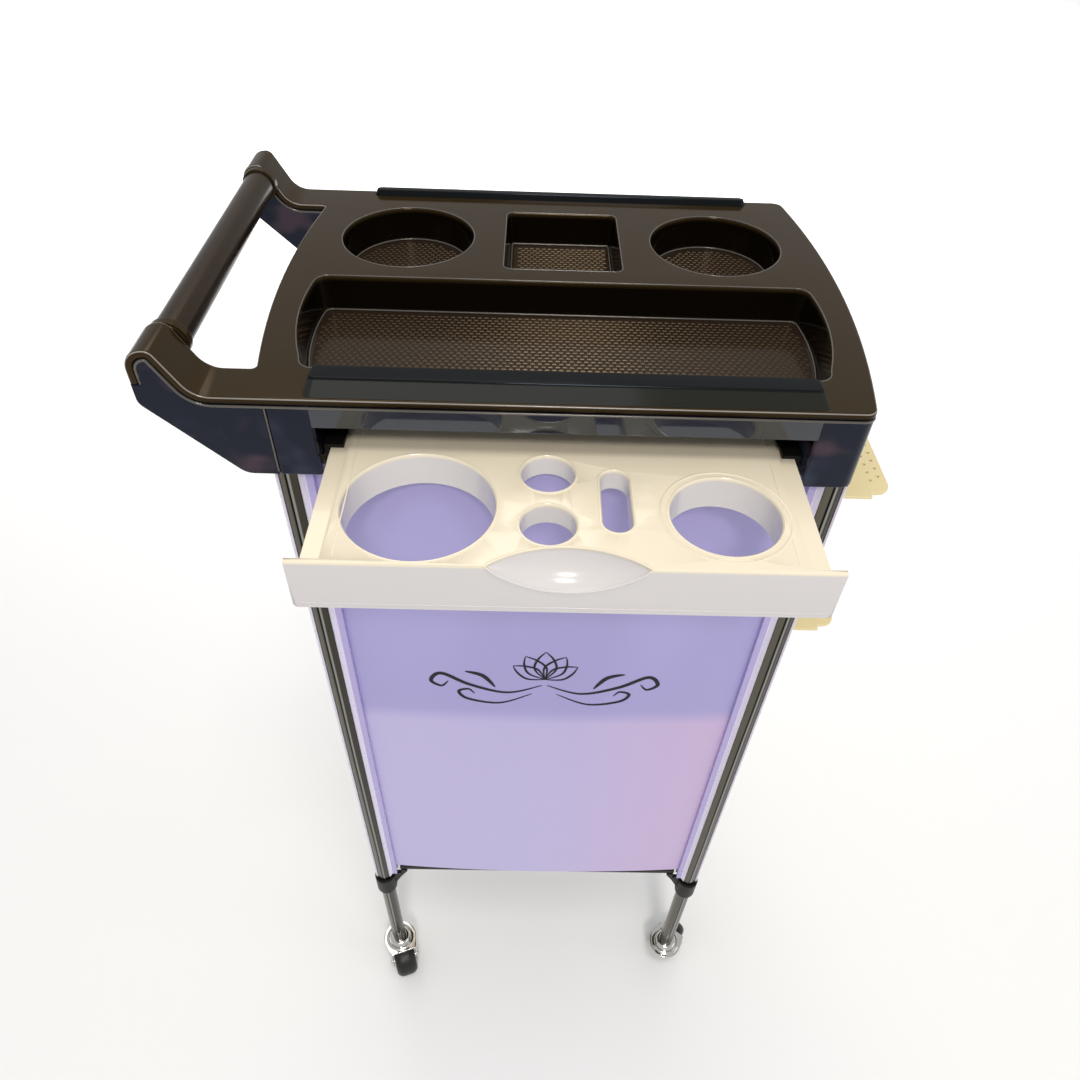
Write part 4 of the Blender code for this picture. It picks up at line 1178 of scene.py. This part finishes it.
def drawer_shape():
    """A drawer about its own middle: an open tub, and a rim with rows of small holes in its pull lips."""
    tub = Shape()
    outer = soft_rectangle((-0.150, 0.150), (-0.109, 0.109), 0.008)
    inner = soft_rectangle((-0.148, 0.148), (-0.107, 0.107), 0.006)
    levels = [(outer, 0.0025, -0.0500), (outer, 0.0007, -0.0492), (outer, 0, -0.0470), (outer, 0, 0.0004)]
    levels += [(outer, 0.0004, 0.0014), (inner, -0.0004, 0.0014), (inner, 0, 0.0006), (inner, 0, -0.0450)]
    levels += [(inner, 0.0009, -0.0474), (inner, 0.0030, -0.0480)]
    loops = []
    for outline, t, z in levels:
        flat = inset(outline, t)
        loops.append((tub.loop([(x, y, z) for x, y in flat]), flat))
    tub.skin([loop for loop, _ in loops])
    tub.fill([loops[0]], lambda x, y: (x, y, -0.0500))
    tub.fill([loops[-1]], lambda x, y: (x, y, -0.0480))
    step_y, step_x = 0.0085, 0.0062
    half_x, half_y, rim_x, rim_y = 0.188, 0.1173, 0.174, 0.1215
    rim = [(half_x, -half_y), (half_x, half_y), (rim_x, half_y), (rim_x, rim_y)]
    rim += [(-rim_x, rim_y), (-rim_x, half_y), (-half_x, half_y), (-half_x, -half_y)]
    rim += [(-rim_x, -half_y), (-rim_x, -rim_y), (rim_x, -rim_y), (rim_x, -half_y)]
    radii = [0.010, 0.010, 0, 0.001, 0.001, 0, 0.010, 0.010, 0, 0.001, 0.001, 0]
    rim = rounded(rim, radii, 6)
    holes = [inset(outer, 0.0008)]
    for side in (-1, 1):
        for row in range(2):
            for column in range(-12, 13):
                x = side * (0.1766 + row * step_x)
                y = (column + 0.5 * row - 0.25) * step_y
                holes.append(circle((x, y), 0.0013, 8))
    plate = slab(rim, -0.0008, 0.0015, 0.0003, holes=holes, steps=1)
    edges = []
    for side in (-1, 1):
        ends = sorted((side * 0.1861, side * 0.1879))
        edges.append(slab(soft_rectangle(ends, (-0.1073, 0.1073), 0.0006, 2), -0.009, 0.0004, 0.0006))
    return together(tub, plate, *edges)


def drawer_pieces():
    drawer = drawer_shape()
    for index, (level, pull) in enumerate(zip(DRAWER_LEVELS, DRAWER_PULLS), start=1):
        name = f"drawer_{index}"
        placed = moved(drawer, Matrix.Translation((pull, 0, level)))
        make(f"{name}_tub", placed, drawer_ivory, name, "ivory_gloss", [name])


# --------------------------------------------------------------------- casters


def crown_outline():
    side = WHEEL_WIDTH / 2 + 0.0033
    back = [(0.0203 * math.cos(a), 0.0203 * math.sin(a)) for a in spread(math.pi / 2, 1.5 * math.pi, 28)]
    return rounded(back + [(0.008, -0.0190), (0.019, -side), (0.019, side), (0.008, 0.0190)],
                   [0] * 29 + [0.008, 0.003, 0.003, 0.008], 5)


def caster_fork():
    """A stamped hood with a pressed ring, two tapering legs and the king pin; the trail runs along +X."""
    inner, outer = WHEEL_WIDTH / 2 + 0.0013, WHEEL_WIDTH / 2 + 0.0033
    hood = slab(crown_outline(), 0.0430, 0.0448, 0.0008, steps=3)
    section = [(0, 0.0432), (0.0010, 0.0436), (0.0010, 0.0405), (0.0004, 0.0398), (-0.0004, 0.0400)]
    skirt = ring_of(inset(anticlockwise(crown_outline()), 0.0010), section)
    leg = [(-0.0080, 0.0440), (-0.0080, 0.0385)]
    for step in range(13):
        angle = math.radians(-165 + 160 * step / 12)
        leg.append((CASTER_TRAIL + 0.0062 * math.cos(angle), WHEEL_RADIUS + 0.0062 * math.sin(angle)))
    leg += [(0.0243, 0.0300), (0.0180, 0.0395), (0.0180, 0.0440)]
    legs = [slab(leg, low, high, 0.0006, along_y) for low, high in ((-outer, -inner), (inner, outer))]
    pressed = [(0.0130, 0.0440), (0.0134, 0.0450), (0.0150, 0.0456), (0.0170, 0.0450), (0.0178, 0.0440)]
    pressed = turned(pressed)
    pin = [(0, 0.0440), (0.0038, 0.0440), (0.0038, 0.0628), (0.0036, 0.0630), (0, 0.0630)]
    pin = turned(pin, steps=32, open_profile=True)
    return together(hood, skirt, *legs, pressed, pin)


def caster_cup():
    profile = [(0, 0.078), (0.0066, 0.078), (0.0066, 0.0515), (0.0095, 0.0515), (0.0108, 0.0512)]
    profile += [(0.0120, 0.0503), (0.0127, 0.0490), (0.0128, 0.0475), (0.0124, 0.0466), (0.0128, 0.0460)]
    profile += [(0.0127, 0.0453), (0.0041, 0.0452), (0.0041, 0.0640), (0, 0.0640)]
    return turned(profile, open_profile=True)


def caster_wheel():
    """A barrel-shaped wheel with recessed sides."""
    half, radius = WHEEL_WIDTH / 2, WHEEL_RADIUS
    side = [(0.0028, half), (0.0060, half), (0.0066, half - 0.0012), (0.0120, half - 0.0012)]
    side += [(0.0128, half - 0.0002)]
    for angle in spread(0, 90, 9):
        turn = math.radians(angle)
        side.append((0.0136 + (radius - 0.0136) * math.sin(turn), half - 0.0095 * (1 - math.cos(turn))))
    profile = [(r, -h) for r, h in side] + [(r, h) for r, h in reversed(side)]
    return turned(profile, axis="Y")


def caster_axle():
    head = WHEEL_WIDTH / 2 + 0.0036
    half = [(0.0025, head), (0.0037, head), (0.0036, head + 0.0008)]
    half += [(0.0029, head + 0.0014), (0.0015, head + 0.0016), (0, head + 0.0016)]
    return turned([(r, -h) for r, h in reversed(half)] + half, steps=32, axis="Y", open_profile=True)


def caster_pieces():
    for name, (sign_x, sign_y) in CORNERS.items():
        foot = Matrix.Translation((sign_x * POST_X, sign_y * POST_Y, 0))
        swivel = foot @ Matrix.Rotation(math.radians(SWIVEL_DEGREES[name]), 4, "Z")
        hub = swivel @ Matrix.Translation((CASTER_TRAIL, 0, WHEEL_RADIUS))
        pieces = [
            ("cup", "caster_cap", caster_cup(), foot, chrome, "chrome", "frame"),
            ("fork", "caster_fork", caster_fork(), swivel, chrome, "chrome", f"swivel_{name}"),
            ("axle", "caster_axle", caster_axle(), hub, chrome, "chrome", f"swivel_{name}"),
            ("wheel_tread", "caster_wheel", caster_wheel(), hub, tread, "wheel_black", f"wheel_{name}"),
        ]
        for kind, node, shape, place, finish, slot, body in pieces:
            make(f"{kind}_{name}", moved(shape, place), finish, body, slot, [f"{node}_{name}"])


# ------------------------------------------------------- camera, light, floor


def soft_light(name, place, target, size, power, colour, spread_degrees=180):
    light = bpy.data.lights.new(name, "AREA")
    light.size = size
    light.spread = math.radians(spread_degrees)
    light.energy = power
    light.color = colour
    thing = bpy.data.objects.new(name, light)
    bpy.context.scene.collection.objects.link(thing)
    thing.location = Vector(place) + SHIFT
    thing.rotation_euler = (Vector(target) - Vector(place)).to_track_quat("-Z", "Y").to_euler()


def studio():
    scene = bpy.context.scene
    scene.view_settings.view_transform = "Standard"
    camera = bpy.data.cameras.new("camera")
    camera.lens = LENS_MM
    camera.sensor_width = 36
    camera.clip_start = 0.02
    seat = bpy.data.objects.new("camera", camera)
    scene.collection.objects.link(seat)
    seat.location = Vector(CAMERA_PLACE) + SHIFT
    seat.rotation_euler = [math.radians(angle) for angle in CAMERA_TURN]
    scene.camera = seat
    world = bpy.data.worlds.new("room")
    world.use_nodes = True
    scene.world = world
    sky = world.node_tree.nodes["Background"]
    sky.inputs["Color"].default_value = (0.97, 0.98, 1.0, 1)
    sky.inputs["Strength"].default_value = 0.6
    soft_light("key", (0.15, -2.3, 3.3), (0, -0.1, 0.8), 0.5, 36, (1.0, 0.95, 0.87))
    soft_light("ceiling", (0.2, -0.95, 3.3), (0, -0.05, 0.7), 0.6, 21, (1.0, 0.96, 0.90))
    soft_light("backdrop", (0, 4.2, 3.2), (0, 4.4, 0), 4.0, 170, (1.0, 1.0, 1.0), 100)
    soft_light("overhead", (-0.3, 1.3, 2.8), (0, 0, 0.8), 1.2, 10, (1.0, 0.93, 0.82))
    soft_light("side_fill", (2.2, -0.8, 1.1), (0, 0, 0.5), 1.2, 5, (1.0, 0.96, 0.97))
    ground = bpy.data.meshes.new("floor")
    reach = 6.0
    corners = [(x, y, 0) for x, y in rectangle((-reach, reach), (-reach, reach))]
    ground.from_pydata(corners, [], [(0, 1, 2, 3)])
    paper = Finish("paper", (0.93, 0.93, 0.93), (0.90, 0.90, 0.90), 0.7, 0.05, 4.0)
    ground.materials.append(paper.material)
    floor = bpy.data.objects.new("floor", ground)
    scene.collection.objects.link(floor)


studio()
top_pieces()
handle_pieces()
tray_pieces()
panel_pieces()
cabinet_pieces()
drawer_pieces()
caster_pieces()

bpy.context.view_layer.update()
